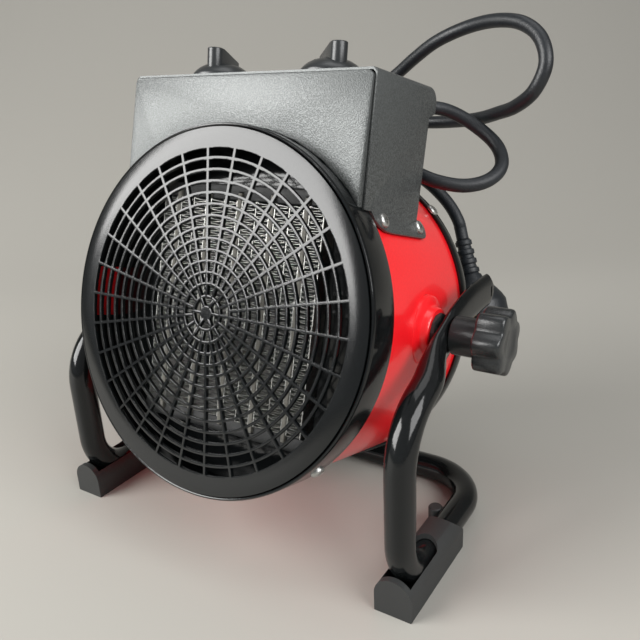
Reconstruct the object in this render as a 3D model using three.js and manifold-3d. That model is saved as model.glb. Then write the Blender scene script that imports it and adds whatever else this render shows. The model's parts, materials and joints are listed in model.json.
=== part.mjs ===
// Forced air heater: a round ceramic workshop heater that tilts in a bent tube stand.
// Millimetres, +Z up, the air outlet faces -Y, and the part stands on z = 0.
// The drum's own parts are drawn in the drum frame: y runs back from the outlet face
// along the drum's axis, and z is the height over that axis.
import * as THREE from 'three';
import { mergeVertices } from 'three/addons/utils/BufferGeometryUtils.js';
import Module from 'manifold-3d';

const wasm = await Module();
wasm.setup();

// ---------------------------------------------------------------- driving dimensions

// Fits and facets
const fit = 0.3;                    // gap between pieces that seat on each other
const bearingFit = 0.35;            // gap round a shaft in its hole
const roundSteps = 32;              // facets round the large turned pieces
const smallSteps = 12;              // facets round knobs and shafts
const screwSteps = 6;               // facets round a screw

// Drum
const drumRadius = 97;
const drumWall = 1.2;
const drumFront = 2.5;              // the drum's front edge, behind the outlet face
const drumRear = 125;

// Front grille, one plate with its flange, clamped between the band and the drum
const grilleRadius = 97.7;
const grilleThick = 2.2;
const grilleOpening = 87;           // radius of the pierced field
const grilleSpokes = 30;
const grilleRows = 12;              // rows of full cells, from the rim inwards
const grillePitch = 6;              // from ring to ring
const ringBar = 1.3;
const spokeBar = 1.7;
const innerRowSpokes = [15, 6];     // fewer cells in the two rows round the hub
const grilleHub = 3.2;

// Bands that clamp the grilles to the drum
const bandRadius = 100;
const bandLip = 98.2;               // inner radius of the front band's mouth
const bandFront = 0.9;
const bandRear = 22;
const rearBandRadius = 98.6;
const rearBandStart = 119;
const rearBandEnd = 129;
const rearLip = 90;                 // the rear band turns in to this radius
const rearLipThick = 1.3;

// Rear grille
const rearGrilleThick = 1.4;
const rearOpening = 84;
const rearSpokes = 8;
const rearPitch = 20;
const rearRows = 3;
const rearBar = 3;
const rearHub = 24;

// Heating core: corrugated fins between plates, with ceramic bars in every second gap
const coreFace = 19.4;              // front of the core, behind the outlet face
const coreDepth = 14;
const coreBottom = -59.5;
const coreTop = 61.5;
const coreBars = 5;
const corePitch = 22;               // from bar to bar
const barThick = 2.4;
const plateThick = 0.6;
const finFolds = 6;
const finThick = 0.7;
const finGap = 0.15;                // between a fold and its plate
const strapHeight = 5;
const holderHeight = 8;
const holderOverhang = 3;           // the holders are this much wider than the core

// Baffle round the core
const bafflePlane = 25;
const baffleThick = 0.9;
const baffleSleeve = 22;            // depth of the sleeve behind the baffle
const baffleRim = 9;
const windowGap = 0.3;              // round the core's holders in the window

// Fan and motor
const fanPlane = 82;                // middle of the fan
const fanRadius = 82;
const fanBlades = 5;
const bladeThick = 1.6;
const bladeChord = 46;
const hubRadius = 19;
const hubDepth = 16;
const shaftRadius = 3;
const shaftFront = 69;
const shaftRear = 123.6;
const motorRadius = 29;
const motorFront = 93;
const motorRear = 119.5;
const bracketThick = 1.6;
const bracketArm = 13;              // width of a motor bracket arm
const bracketTab = 14;              // length of the tabs along the drum wall

// Pivot and clamps
const pivotBack = 70;               // from the outlet face to the pivot
const pivotRise = 3;                // the pivot over the drum's axis
const bossRadius = 13;
const bossStep = 17.5;              // radius of the pressed step round the boss
const bossFace = 102.6;             // distance of the boss face from the middle plane
const toothedRadius = 10.5;
const toothedThick = 2.2;
const toothCount = 6;
const boltRadius = 4;
const collarRadius = 10.5;
const collarLength = 14.6;
const knobRadius = 18;
const knobDepth = 15;
const knobLobes = 7;
const knobBore = 10;                // depth of the knob's blind hole for the bolt

// Stand
const pivotHeight = 126;            // of the pivot over the floor
const restTilt = 16.7;              // the outlet looks up by this many degrees at rest
const tubeRadius = 8;
const tubeSides = 10;
const tubeHeight = 10;              // of the tube's middle in the feet; the crossbar rests on the floor
const legSpan = 113.5;              // from the middle plane to a leg's middle
const legFront = -68;               // the upright part of a leg, measured from the pivot
const footBend = 28;
const legBend = 35;
const legSlope = 20;                // degrees from level, where the leg reaches the pivot
const tabBend = 120;
const tabSlope = 0;
const tabEnd = 62;                  // the tab's end, behind the pivot
const tabThick = 7;                 // the tube is pressed flat to this at the clamp
const tabWidth = 20.5;
const flatStart = -40;              // where the flattening starts, measured from the pivot
const flatDone = -13;
const crossbarBack = 49;
const cornerBend = 36;

// Feet
const footWidth = 21;
const footFront = -77.4;
const footRear = -9;
const footHeight = 21.6;
const footWall = 3.6;               // front wall of the pocket
const pocketRear = -34;
const footRearSlope = 9;
const postRadius = 4.2;
const postHeight = 15;

// Control box on the drum
const boxHalf = 79.6;               // half of the box's width, over the side walls
const sheet = 1.2;
const boxFront = 11;                // plane of the front panel
const boxSideFront = 13;            // front edge of the side walls at the top
const boxSideLean = 2.2;            // the edge stands this much further back at the bottom
const boxTopFront = 128.4;
const boxTopSlope = 5.6;            // degrees, the top rises to the rear
const boxRear = 76.8;
const boxCorner = 3;
const panelFlange = 9;
const lipReach = 9.2;               // the top sheet stands this far out behind the box
const lipRadius = 8.5;
const lipDrop = 12.2;               // from the top to the lip's lower corner
const hemRise = 4.6;
const flangeTilt = 24;              // the side flanges' normal, degrees over level
const flangeOffset = 97.95;         // outer face of a flange, from the drum's axis
const flangeWidth = 10.6;
const rearPanelInset = 1;

// Dials and the parts under them
const dialOffset = 37.5;              // from the middle plane
const dialBack = 39.7;                // from the outlet face, along the top
const dialRadius = 17.2;
const dialSkirt = 2.2;
const dialDome = 9;
const dialHeight = 17.8;
const gripWidth = 9;
const gripTail = 13.2;              // height of the grip's tail
const gripReach = 14;
const spindleRadius = 3;
const bushRadius = 4.6;
const switchSize = [34, 30, 20];
const thermostatSize = [40, 28, 16];
const modeTurn = 12;                 // degrees the mode dial is turned at rest
const thermostatTurn = 50;

// Screws
const screwHead = 3.9;
const screwHeadHeight = 2.1;
const screwSink = 0.6;              // a head's foot reaches this far under its seat
const bandScrewAngle = 46;
const rearLowAngle = 52;
const drumScrewPlane = 28;          // of the two screws low in the drum's own wall
const frontScrewPlane = 16;
const rearScrewPlane = 122;
const flangeScrewPlanes = [33, 76];

// Mains lead
const cordRadius = 4;
const cordSides = 8;
const leadStep = 20;                // length of a step along the free lead
const glandRadius = 8.4;
const glandReach = 22;
const glandSteps = 8;
const coilInner = 31;
const coilPitch = 8.6;              // from turn to turn, and from layer to layer
const coilTurnsIn = 1.5;
const coilLean = 12;                // degrees the coil lies down the drum's left side
const coilMiddle = 127;             // from the outlet face
const coilSteps = 14;               // steps in a loop
const coilSides = 6;
const tieWidth = 7;
const tieWall = 1.1;
const reliefLength = 26;
const reliefRadius = 6.4;
const reliefRibs = 3;
const plugRadius = 19;
const plugShoulder = 17;
const plugBody = 15;
const plugPinRadius = 2.4;
const plugPinLength = 18;
const plugPinSpacing = 9.5;         // half of the distance between the pins

// ---------------------------------------------------------------- geometry helpers

const rad = THREE.MathUtils.degToRad;
const v2 = (x, y) => new THREE.Vector2(x, y);
const v3 = (x, y, z) => new THREE.Vector3(x, y, z);
const lerp = THREE.MathUtils.lerp;

// Shared vertices merged, slivers dropped and faces turned outwards.
function weld(source) {
  let geometry = source.index ? source.toNonIndexed() : source.clone();
  for (const name of Object.keys(geometry.attributes)) {
    if (name !== 'position') geometry.deleteAttribute(name);
  }
  geometry = mergeVertices(geometry, 1e-4);
  const index = geometry.index.array;
  const kept = [];
  for (let i = 0; i < index.length; i += 3) {
    const [a, b, c] = [index[i], index[i + 1], index[i + 2]];
    if (a !== b && b !== c && c !== a) kept.push(a, b, c);
  }
  if (signedVolume(geometry.attributes.position, kept) < 0) kept.reverse();
  geometry.setIndex(kept);
  return geometry;
}

function signedVolume(position, index) {
  const [a, b, c] = [v3(), v3(), v3()];
  let sum = 0;
  for (let i = 0; i < index.length; i += 3) {
    a.fromBufferAttribute(position, index[i]);
    b.fromBufferAttribute(position, index[i + 1]);
    c.fromBufferAttribute(position, index[i + 2]);
    sum += a.dot(b.cross(c));
  }
  return sum;
}

function toSolid(geometry) {
  const welded = weld(geometry);
  return new wasm.Manifold(new wasm.Mesh({
    numProp: 3,
    vertProperties: new Float32Array(welded.attributes.position.array),
    triVerts: new Uint32Array(welded.index.array),
  }));
}

function toGeometry(solid) {
  const mesh = solid.getMesh();
  const geometry = new THREE.BufferGeometry();
  geometry.setAttribute('position', new THREE.BufferAttribute(mesh.vertProperties, 3));
  geometry.setIndex(new THREE.BufferAttribute(mesh.triVerts, 1));
  return geometry;
}

function join(...geometries) {
  return toGeometry(geometries.map(toSolid).reduce((sum, next) => sum.add(next)));
}

function cut(geometry, ...tools) {
  return toGeometry(tools.map(toSolid).reduce((rest, tool) => rest.subtract(tool), toSolid(geometry)));
}

function keep(geometry, other) {
  return toGeometry(toSolid(geometry).intersect(toSolid(other)));
}

const moved = (geometry, x, y, z) => geometry.clone().translate(x, y, z);
const mirrored = (geometry) => weld(geometry.clone().scale(-1, 1, 1));

// A profile of [radius, y] pairs turned round the Y axis.
function turned(profile, steps = roundSteps) {
  const points = profile.map(([r, y]) => v2(Math.max(r, 0), y));
  if (profile[0][0] > 0) points.push(points[0].clone());
  return weld(new THREE.LatheGeometry(points, steps));
}

// A ring round the Y axis.
function ring(inner, outer, from, to, steps = roundSteps) {
  return turned([[inner, from], [outer, from], [outer, to], [inner, to]], steps);
}

// A rod along Y.
function rod(radius, from, to, steps = smallSteps) {
  return turned([[0, from], [radius, from], [radius, to], [0, to]], steps);
}

// The same rod along X.
function rodX(radius, from, to, steps = smallSteps) {
  return rod(radius, -to, -from, steps).rotateZ(Math.PI / 2);
}

// The same rod along Z.
function rodZ(radius, from, to, steps = smallSteps) {
  return rod(radius, from, to, steps).rotateX(Math.PI / 2);
}

function block(x0, x1, y0, y1, z0, z1) {
  return new THREE.BoxGeometry(x1 - x0, y1 - y0, z1 - z0)
    .translate((x0 + x1) / 2, (y0 + y1) / 2, (z0 + z1) / 2);
}

const span = (a, b) => [Math.min(a, b), Math.max(a, b)];

// An outline in the XZ plane, given thickness along Y.
function plateXZ(shape, from, to, curveSegments = 8) {
  return weld(new THREE.ExtrudeGeometry(shape, { depth: to - from, bevelEnabled: false, curveSegments })
    .rotateX(Math.PI / 2).translate(0, to, 0));
}

// An outline in the YZ plane, given thickness along X.
function plateYZ(shape, from, to, curveSegments = 8) {
  return weld(new THREE.ExtrudeGeometry(shape, { depth: to - from, bevelEnabled: false, curveSegments })
    .rotateX(Math.PI / 2).rotateZ(Math.PI / 2).translate(from, 0, 0));
}

// Closed loops of equal count, joined in order, with flat ends.
function loft(loops) {
  const sides = loops[0].length;
  const positions = loops.flat().flatMap((p) => [p.x, p.y, p.z]);
  const index = [];
  for (let k = 0; k + 1 < loops.length; k++) {
    for (let i = 0; i < sides; i++) {
      const [a, b] = [k * sides + i, k * sides + (i + 1) % sides];
      index.push(a, b, b + sides, a, b + sides, a + sides);
    }
  }
  const last = (loops.length - 1) * sides;
  for (let i = 1; i + 1 < sides; i++) {
    index.push(0, i + 1, i);
    index.push(last, last + i, last + i + 1);
  }
  const geometry = new THREE.BufferGeometry();
  geometry.setAttribute('position', new THREE.Float32BufferAttribute(positions, 3));
  geometry.setIndex(index);
  return weld(geometry);
}

// Closed loops joined in order and back to the first, as round a hole.
function tubeLoft(loops) {
  const sides = loops[0].length;
  const index = [];
  for (let k = 0; k < loops.length; k++) {
    const next = (k + 1) % loops.length * sides;
    for (let i = 0; i < sides; i++) {
      const [a, b] = [k * sides + i, k * sides + (i + 1) % sides];
      const [c, d] = [next + i, next + (i + 1) % sides];
      index.push(a, b, d, a, d, c);
    }
  }
  const geometry = new THREE.BufferGeometry();
  const positions = loops.flat().flatMap((p) => [p.x, p.y, p.z]);
  geometry.setAttribute('position', new THREE.Float32BufferAttribute(positions, 3));
  geometry.setIndex(index);
  return weld(geometry);
}

// A section carried along points. The section is given by its angle and the place on
// the path, as a pair: across (towards `side`) and up.
function sweep(points, sides, section, side = v3(1, 0, 0)) {
  const loops = points.map((point, k) => {
    const ahead = points[Math.min(k + 1, points.length - 1)];
    const behind = points[Math.max(k - 1, 0)];
    const along = ahead.clone().sub(behind).normalize();
    const across = side.clone().addScaledVector(along, -side.dot(along)).normalize();
    side = across;
    const up = along.clone().cross(across);
    return Array.from({ length: sides }, (_, i) => {
      const [a, b] = section((i + 0.5) * 2 * Math.PI / sides, k);
      return point.clone().addScaledVector(across, a).addScaledVector(up, b);
    });
  });
  return loft(loops);
}

function roundTube(points, radius, sides, side) {
  return sweep(points, sides, (angle) => [radius * Math.cos(angle), radius * Math.sin(angle)], side);
}

function pathLength(points) {
  return points.slice(1).reduce((sum, p, i) => sum + p.distanceTo(points[i]), 0);
}

// ---------------------------------------------------------------- materials

const finish = (color, roughness, metalness) => new THREE.MeshStandardMaterial({ color, roughness, metalness });
const redPaint = finish(0xe01c1c, 0.3, 0.2);
const blackPaint = finish(0x1c1e1f, 0.25, 0.3);
const blackTexture = finish(0x34373a, 0.7, 0.2);
const blackPlastic = finish(0x2a2d2e, 0.55, 0);
const glossPlastic = finish(0x141516, 0.3, 0);
const rubber = finish(0x202225, 0.6, 0);
const zinc = finish(0xc8c9c6, 0.35, 0.9);
const aluminium = finish(0xa9a79f, 0.5, 0.8);
const ceramic = finish(0xd8d0b8, 0.8, 0);
const steel = finish(0x8d8f90, 0.4, 0.9);

// ---------------------------------------------------------------- scene graph

const model = new THREE.Group();
const stand = new THREE.Group();            // its origin is the floor under the pivot
const tilting = new THREE.Group();          // turns about the clamps' axis
const body = new THREE.Group();             // the drum frame
const boxTop = new THREE.Group();           // its origin is on the box's top, z square to it
tilting.position.set(0, 0, pivotHeight);
tilting.rotation.x = -rad(restTilt);
body.position.set(0, -pivotBack, -pivotRise);
tilting.add(body);
body.add(boxTop);
model.add(stand, tilting);

function add(parent, name, geometry, material) {
  const mesh = new THREE.Mesh(weld(geometry), material);
  mesh.name = name;
  parent.add(mesh);
  return mesh;
}

// ---------------------------------------------------------------- screws

// A pan head that stands on y = 0 and reaches a little way under it.
function panHead() {
  return turned([[0, -screwSink], [screwHead, -screwSink], [screwHead * 0.7, screwHeadHeight], [0, screwHeadHeight]],
    screwSteps);
}

// Heads round the drum, each square to it. The upper and lower angles are from level.
const around = (upper, lower) => [upper, 180 - upper, 180 + lower, -lower];

function heads(angles, plane, seat) {
  return angles.map((angle) => panHead().rotateZ(-Math.PI / 2).translate(seat, 0, 0)
    .rotateY(-rad(angle)).translate(0, plane, 0));
}

// The side flanges of the box lean out, with their normal flangeTilt over level.
const flangeFall = v3(Math.sin(rad(flangeTilt)), 0, -Math.cos(rad(flangeTilt)));
const flangeOut = v3(Math.cos(rad(flangeTilt)), 0, Math.sin(rad(flangeTilt)));
const flangeTop = v3(boxHalf, 0, (flangeOffset - boxHalf * flangeOut.x) / flangeOut.z);

function flangeHeads() {
  const seat = flangeTop.clone().addScaledVector(flangeFall, flangeWidth * 0.42);
  return flangeScrewPlanes.map((plane) => panHead().rotateZ(-Math.PI / 2).rotateY(-rad(flangeTilt))
    .translate(seat.x, plane, seat.z));
}

// ---------------------------------------------------------------- front grille

// One cell of the pierced field, a rounded trapezium seen from the front.
function cellHole(angle, inner, outer, bar) {
  const half = Math.PI / bar.count;
  const corners = [[outer, 1], [outer, -1], [inner, -1], [inner, 1]].map(([radius, side]) => {
    const turn = half - Math.asin(bar.width / 2 / radius);
    return v2(radius * Math.cos(angle + side * turn), radius * Math.sin(angle + side * turn));
  });
  return new THREE.Path(corners);
}

function addCells(shape, count, inner, outer, width) {
  for (let i = 0; i < count; i++) {
    const angle = (i + 0.5) * 2 * Math.PI / count;
    shape.holes.push(cellHole(angle, inner, outer, { count, width }));
  }
}

function disc(radius, steps = roundSteps) {
  const corners = Array.from({ length: steps }, (_, i) => {
    const angle = i * 2 * Math.PI / steps;
    return v2(radius * Math.cos(angle), radius * Math.sin(angle));
  });
  return new THREE.Shape(corners);
}

function frontGrille() {
  const field = disc(grilleRadius);
  let outer = grilleOpening;
  for (let row = 0; row < grilleRows; row++) {
    const inner = grilleOpening - (row + 1) * grillePitch + ringBar / 2;
    addCells(field, grilleSpokes, inner, outer, spokeBar);
    outer = inner - ringBar;
  }
  for (const count of innerRowSpokes) {
    const inner = Math.max(outer - grillePitch + ringBar, grilleHub);
    addCells(field, count, inner, outer, ringBar);
    outer = inner - ringBar;
  }
  return plateXZ(field, 0, grilleThick);
}

// ---------------------------------------------------------------- drum, bands and rear grille

function bossBlank(reach) {
  const from = drumRadius - 6;
  return join(rodX(bossRadius, from, reach), rodX(bossStep, from, drumRadius + 0.9));
}

function drumShell() {
  const hollow = drumRadius - drumWall;
  const tube = ring(hollow, drumRadius, drumFront, drumRear, roundSteps);
  const bore = rod(hollow, drumFront - 1, drumRear + 1, roundSteps);
  const pressing = cut(bossBlank(bossFace).translate(0, pivotBack, pivotRise), bore);
  const cup = rodX(bossRadius - drumWall, drumRadius - 20, bossFace - drumWall).translate(0, pivotBack, pivotRise);
  const bolt = rodX(boltRadius + bearingFit, 60, 140).translate(0, pivotBack, pivotRise);
  const sides = [pressing, mirrored(pressing)];
  const low = heads([180 + bandScrewAngle, -bandScrewAngle], drumScrewPlane, drumRadius);
  return cut(join(tube, ...sides, ...low), cup, mirrored(cup), bolt, mirrored(bolt));
}

function frontBand() {
  const inner = drumRadius + fit;
  const bead = 1.1;
  const steps = [45].map((a) => [
    bandRadius - bead + bead * Math.sin(rad(a)),
    bandFront + bead - bead * Math.cos(rad(a)),
  ]);
  const profile = [
    [bandLip, bandFront + 0.5], ...steps, [bandRadius, bandRear], [inner, bandRear],
    [inner, grilleThick + 1.2], [bandLip, grilleThick + 0.6],
  ];
  return join(turned(profile), ...heads(around(bandScrewAngle, bandScrewAngle), frontScrewPlane, bandRadius));
}

function rearBand() {
  const inner = drumRadius + fit;
  const bead = 1.6;
  const steps = [45].map((a) => [
    rearBandRadius - bead + bead * Math.cos(rad(a)),
    rearBandEnd - bead + bead * Math.sin(rad(a)),
  ]);
  const profile = [
    [inner, rearBandStart], [rearBandRadius, rearBandStart], ...steps, [rearLip, rearBandEnd],
    [rearLip, rearBandEnd - rearLipThick], [inner, rearBandEnd - rearLipThick],
  ];
  return join(turned(profile), ...heads(around(bandScrewAngle, rearLowAngle), rearScrewPlane, rearBandRadius));
}

function rearGrille() {
  const field = disc(drumRadius - fit);
  let outer = rearOpening;
  for (let row = 0; row < rearRows; row++) {
    const inner = Math.max(outer - rearPitch + rearBar, rearHub);
    addCells(field, rearSpokes, inner, outer, rearBar);
    outer = inner - rearBar;
  }
  const back = rearBandEnd - rearLipThick - fit;
  return plateXZ(field, back - rearGrilleThick, back);
}

// ---------------------------------------------------------------- heating core

const coreHalf = coreBars * corePitch / 2;

// Fins folded between two plates, seen from the front as a zigzag of even thickness.
function finStrip(from, to) {
  const fold = (coreTop - coreBottom) / finFolds;
  const width = finThick * Math.hypot(to - from, fold) / fold;
  const left = [];
  const right = [];
  for (let i = 0; i <= finFolds; i++) {
    const z = coreBottom + i * fold;
    left.push(v2(i % 2 ? to - width : from, z));
    right.push(v2(i % 2 ? to : from + width, z));
  }
  return plateXZ(new THREE.Shape([...left, ...right.reverse()]), coreFace, coreFace + coreDepth);
}

const barMiddles = Array.from({ length: coreBars }, (_, i) => (i - (coreBars - 1) / 2) * corePitch);

// Plates and fins are brazed into one block by a strap across the back.
function coreFins() {
  const back = coreFace + coreDepth;
  const middle = (coreBottom + coreTop) / 2;
  const strap = block(-coreHalf, coreHalf, back - plateThick, back, middle - strapHeight / 2, middle + strapHeight / 2);
  const pieces = [];
  for (const x of barMiddles) {
    const [near, far] = [x - barThick / 2 - fit, x + barThick / 2 + fit];
    const [left, right] = [x - corePitch / 2, x + corePitch / 2];
    pieces.push(finStrip(left + plateThick + finGap, near - plateThick - finGap));
    pieces.push(finStrip(far + plateThick + finGap, right - plateThick - finGap));
    const edges = [near - plateThick, far, x === barMiddles[0] ? left : left - plateThick / 2];
    if (x === barMiddles[coreBars - 1]) edges.push(right - plateThick);
    for (const edge of edges) {
      pieces.push(block(edge, edge + plateThick, coreFace, back, coreBottom, coreTop));
    }
  }
  return join(...pieces, strap);
}

function ceramicBar(x) {
  return block(x - barThick / 2, x + barThick / 2, coreFace - 0.4, coreFace + coreDepth - plateThick - fit,
    coreBottom - holderHeight * 0.5, coreTop + holderHeight * 0.5);
}

// Moulded end holder with a slot for each bar. Its ends rest in the baffle's sleeve.
function coreHolder(side) {
  const seat = side > 0 ? coreTop + fit : coreBottom - fit;
  const end = seat + side * holderHeight;
  const half = coreHalf + holderOverhang;
  const rail = block(-half, half, coreFace + 1, coreFace + coreDepth, ...span(seat, end));
  const slots = barMiddles.map((x) => block(
    x - barThick / 2 - fit, x + barThick / 2 + fit, coreFace - 2, coreFace + coreDepth - plateThick,
    ...span(seat - side, seat + side * (holderHeight * 0.5 + fit))));
  return cut(rail, ...slots);
}

function thermalCutout() {
  const top = coreTop + fit + holderHeight;
  const floor = coreFace + coreDepth + fit;
  const base = block(-12, 12, floor, floor + 1.6, top - 7.5, top - 1);
  const can = rod(6.2, floor + 1, floor + 8, smallSteps).translate(0, 0, top - 7);
  const blades = [-4, 4].map((x) => block(x - 1.6, x + 1.6, floor + 7.5, floor + 14, top - 7.4, top - 6.6));
  return join(base, can, ...blades).translate(24, 0, -1);
}

// ---------------------------------------------------------------- baffle, fan and motor

function baffle() {
  const outer = drumRadius - drumWall - fit;
  const half = coreHalf + holderOverhang + windowGap;
  const low = coreBottom - fit - holderHeight - windowGap;
  const high = coreTop + fit + holderHeight + windowGap;
  const back = bafflePlane + baffleThick;
  const rim = ring(outer - baffleThick, outer, bafflePlane, bafflePlane + baffleRim);
  const plate = rod(outer - baffleThick / 2, bafflePlane, back, roundSteps);
  const sleeve = block(-half - baffleThick, half + baffleThick, back - 0.1, back + baffleSleeve,
    low - baffleThick, high + baffleThick);
  const passage = block(-half, half, bafflePlane - 5, back + baffleSleeve + 5, low, high);
  return cut(join(rim, plate, sleeve), passage);
}

// One blade, lofted from the hub to the tip with falling pitch.
function fanBlade() {
  const loops = [0, 1].map((t) => {
    const radius = lerp(hubRadius - 3, fanRadius, t);
    const pitch = rad(lerp(48, 24, t));
    const chord = bladeChord * lerp(0.55, 1, Math.sqrt(t));
    const thick = bladeThick * lerp(1.3, 0.8, t);
    const camber = 3.2 * t + 1;
    const outline = [[-0.5, 0, -0.5], [0, 1, -0.5], [0.5, 0, -0.5],
      [0.5, 0, 0.5], [0, 1, 0.5], [-0.5, 0, 0.5]];
    return outline.map(([c, bow, side]) => {
      const along = c * chord;
      const lift = bow * camber + side * thick;
      return v3(
        along * Math.cos(pitch) - lift * Math.sin(pitch),
        along * Math.sin(pitch) + lift * Math.cos(pitch),
        Math.sqrt(Math.max(radius * radius - along * along * 0.9, 1)));
    });
  });
  return loft(loops);
}

function fan() {
  const front = fanPlane - hubDepth / 2;
  const hub = turned([[0, front + 1], [hubRadius - 4, front], [hubRadius, front + 3],
    [hubRadius, front + hubDepth], [0, front + hubDepth]], smallSteps);
  const blade = fanBlade();
  const blades = Array.from({ length: fanBlades }, (_, i) => blade.clone()
    .rotateY(i * 2 * Math.PI / fanBlades).translate(0, fanPlane, 0));
  return cut(join(hub, ...blades), rod(shaftRadius + fit, 0, 130));
}

function motor() {
  const can = turned([[0, motorFront + 3], [motorRadius * 0.45, motorFront + 3], [motorRadius * 0.5, motorFront],
    [motorRadius * 0.5, motorFront + 4], [motorRadius, motorFront + 6], [motorRadius, motorRear], [0, motorRear]], smallSteps);
  const lamination = block(-motorRadius - 3, motorRadius + 3, motorFront + 9, motorRear - 4, -20, 20);
  return cut(join(can, lamination), rod(shaftRadius + bearingFit, 0, 140));
}

function motorBracket() {
  const from = motorRear + fit;
  const to = from + bracketThick;
  const reach = drumRadius - drumWall - fit;
  const middle = rod(motorRadius + 2, from, to, smallSteps);
  const arms = around(bandScrewAngle, rearLowAngle).map((angle) => join(
    block(0, reach - 0.6, from, to, -bracketArm / 2, bracketArm / 2),
    block(reach - bracketThick, reach - 0.1, to - bracketTab, to, -bracketArm / 2, bracketArm / 2),
  ).rotateY(-rad(angle)));
  const rounded = keep(join(middle, ...arms), rod(reach, from - 30, to + 1, roundSteps));
  return cut(rounded, rod(shaftRadius + bearingFit, 0, 140));
}

// ---------------------------------------------------------------- clamps

const clampStack = {
  toothed: bossFace + fit,
  tab: bossFace + fit + toothedThick + fit,
};
clampStack.collar = clampStack.tab + tabThick + fit;
clampStack.knob = clampStack.collar + collarLength + fit;

// Face teeth are notched into the washer's outer side.
function toothedWasher() {
  const { toothed } = clampStack;
  const teeth = Array.from({ length: toothCount * 2 }, (_, i) => {
    const angle = i * Math.PI / toothCount;
    return [i % 2 ? toothedThick * 0.55 : toothedThick, angle];
  });
  const loop = (radius, height) => teeth.map(([top, angle]) => v3(
    toothed + height(top), radius * Math.cos(angle), radius * Math.sin(angle)));
  const flat = () => 0;
  const full = (top) => top;
  const [inner, outer] = [boltRadius + bearingFit, toothedRadius];
  return tubeLoft([loop(inner, flat), loop(outer, flat), loop(outer, full), loop(inner, full)]);
}

function clampBolt() {
  const seat = bossFace - drumWall - fit;
  const head = rodX(boltRadius * 2, seat - 3, seat, 6);
  const shank = rodX(boltRadius, seat - 1, clampStack.knob + knobBore - 0.6);
  return join(head, shank);
}

function clampCollar() {
  const end = clampStack.collar + collarLength;
  const bore = boltRadius + bearingFit;
  return ring(bore, collarRadius, -end, -clampStack.collar, smallSteps).rotateZ(Math.PI / 2);
}

// Star knob: lobes round a core, its outer face slightly domed.
function clampKnob() {
  const base = clampStack.knob;
  const lobes = Array.from({ length: knobLobes * 4 }, (_, i) => {
    const angle = i * 2 * Math.PI / (knobLobes * 4);
    const wave = 0.5 + 0.5 * Math.cos(angle * knobLobes);
    const radius = knobRadius * (0.86 + 0.14 * Math.pow(wave, 0.6));
    return [radius, angle];
  });
  const loops = [[0, 0.95], [0.8, 1], [1, 0.84]].map(([t, scale]) => lobes.map(
    ([radius, angle]) => v3(base + t * knobDepth, radius * scale * Math.cos(angle), radius * scale * Math.sin(angle))));
  return cut(loft(loops), rodX(boltRadius + fit, base - 5, base + knobBore));
}

// ---------------------------------------------------------------- stand

function arcPoints(centreY, centreZ, radius, from, to, steps) {
  return Array.from({ length: steps + 1 }, (_, i) => {
    const angle = rad(lerp(from, to, i / steps));
    return [centreY + radius * Math.cos(angle), centreZ + radius * Math.sin(angle)];
  });
}

// Middle line of the right leg in its own plane, from the tab's end to the foot. It
// passes through the pivot on a slope, and bends from there both ways.
function legPath() {
  const slope = Math.tan(rad(legSlope));
  const bendSide = legFront + legBend;
  const bendFoot = pivotHeight + (bendSide - legBend * Math.sin(rad(legSlope))) * slope
    - legBend * Math.cos(rad(legSlope));
  const bend = arcPoints(bendSide, bendFoot, legBend, 90 + legSlope, 180, 4);
  const foot = arcPoints(legFront + footBend, tubeHeight + footBend, footBend, 180, 270, 4);
  const tab = arcPoints(tabBend * Math.sin(rad(legSlope)), pivotHeight - tabBend * Math.cos(rad(legSlope)), tabBend,
    90 + tabSlope, 90 + legSlope, 2);
  const [arcY, arcZ] = tab[0];
  const nose = [1, 0.88, 0.5, 0].map((share) => {
    const y = tabEnd - (1 - share) * tabWidth / 2;
    return [y, arcZ + (y - arcY) * Math.tan(rad(tabSlope))];
  });
  const press = [flatDone, lerp(flatDone, flatStart, 0.5), flatStart].map((y) => [y, pivotHeight + y * slope]);
  return [...nose, ...tab, ...press, ...bend, ...foot];
}

// How far the tube is pressed flat at a place on the leg: 1 at the clamp, 0 on the leg.
const flatness = (y, z) => (z < pivotHeight / 2 ? 0 : THREE.MathUtils.smoothstep(y, flatStart, flatDone));

// The tab's rounded end: the share of its width that is left at a place along it.
function noseWidth(y, z) {
  const past = (y - tabEnd + tabWidth / 2) / (tabWidth / 2);
  return z < pivotHeight / 2 || past < 0 ? 1 : Math.sqrt(Math.max(1 - past * past, 0.02));
}

const tabMiddle = clampStack.tab + tabThick / 2;

function standTube() {
  const leg = legPath().map(([y, z]) => {
    const flat = flatness(y, z);
    return { point: v3(lerp(legSpan, tabMiddle, flat), y, z), flat, width: noseWidth(y, z) };
  });
  const cornerSteps = 4;
  const turn = arcPoints(legSpan - cornerBend, crossbarBack - cornerBend, cornerBend, 0, 90, cornerSteps);
  const corner = turn.map(([x, y], i) => (
    { point: v3(x, y, lerp(tubeHeight, tubeRadius, i / cornerSteps)), flat: 0, width: 1 }));
  const half = [...leg, ...corner];
  const other = half.map(({ point, ...rest }) => ({ point: v3(-point.x, point.y, point.z), ...rest })).reverse();
  const whole = [...half, ...other];
  const section = (angle, k) => {
    const { flat, width } = whole[k];
    const across = lerp(tubeRadius, tabThick / 2, flat);
    const up = lerp(tubeRadius, tabWidth / 2, flat) * width;
    const square = lerp(1, 1.12, flat);
    return [Math.max(-across, Math.min(across, across * square * Math.cos(angle))), up * Math.sin(angle)];
  };
  const tube = sweep(whole.map(({ point }) => point), tubeSides, section, v3(1, 0, 0));
  const bolt = rodX(boltRadius + bearingFit, 80, 140).translate(0, 0, pivotHeight);
  return cut(tube, bolt, mirrored(bolt));
}

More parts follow.
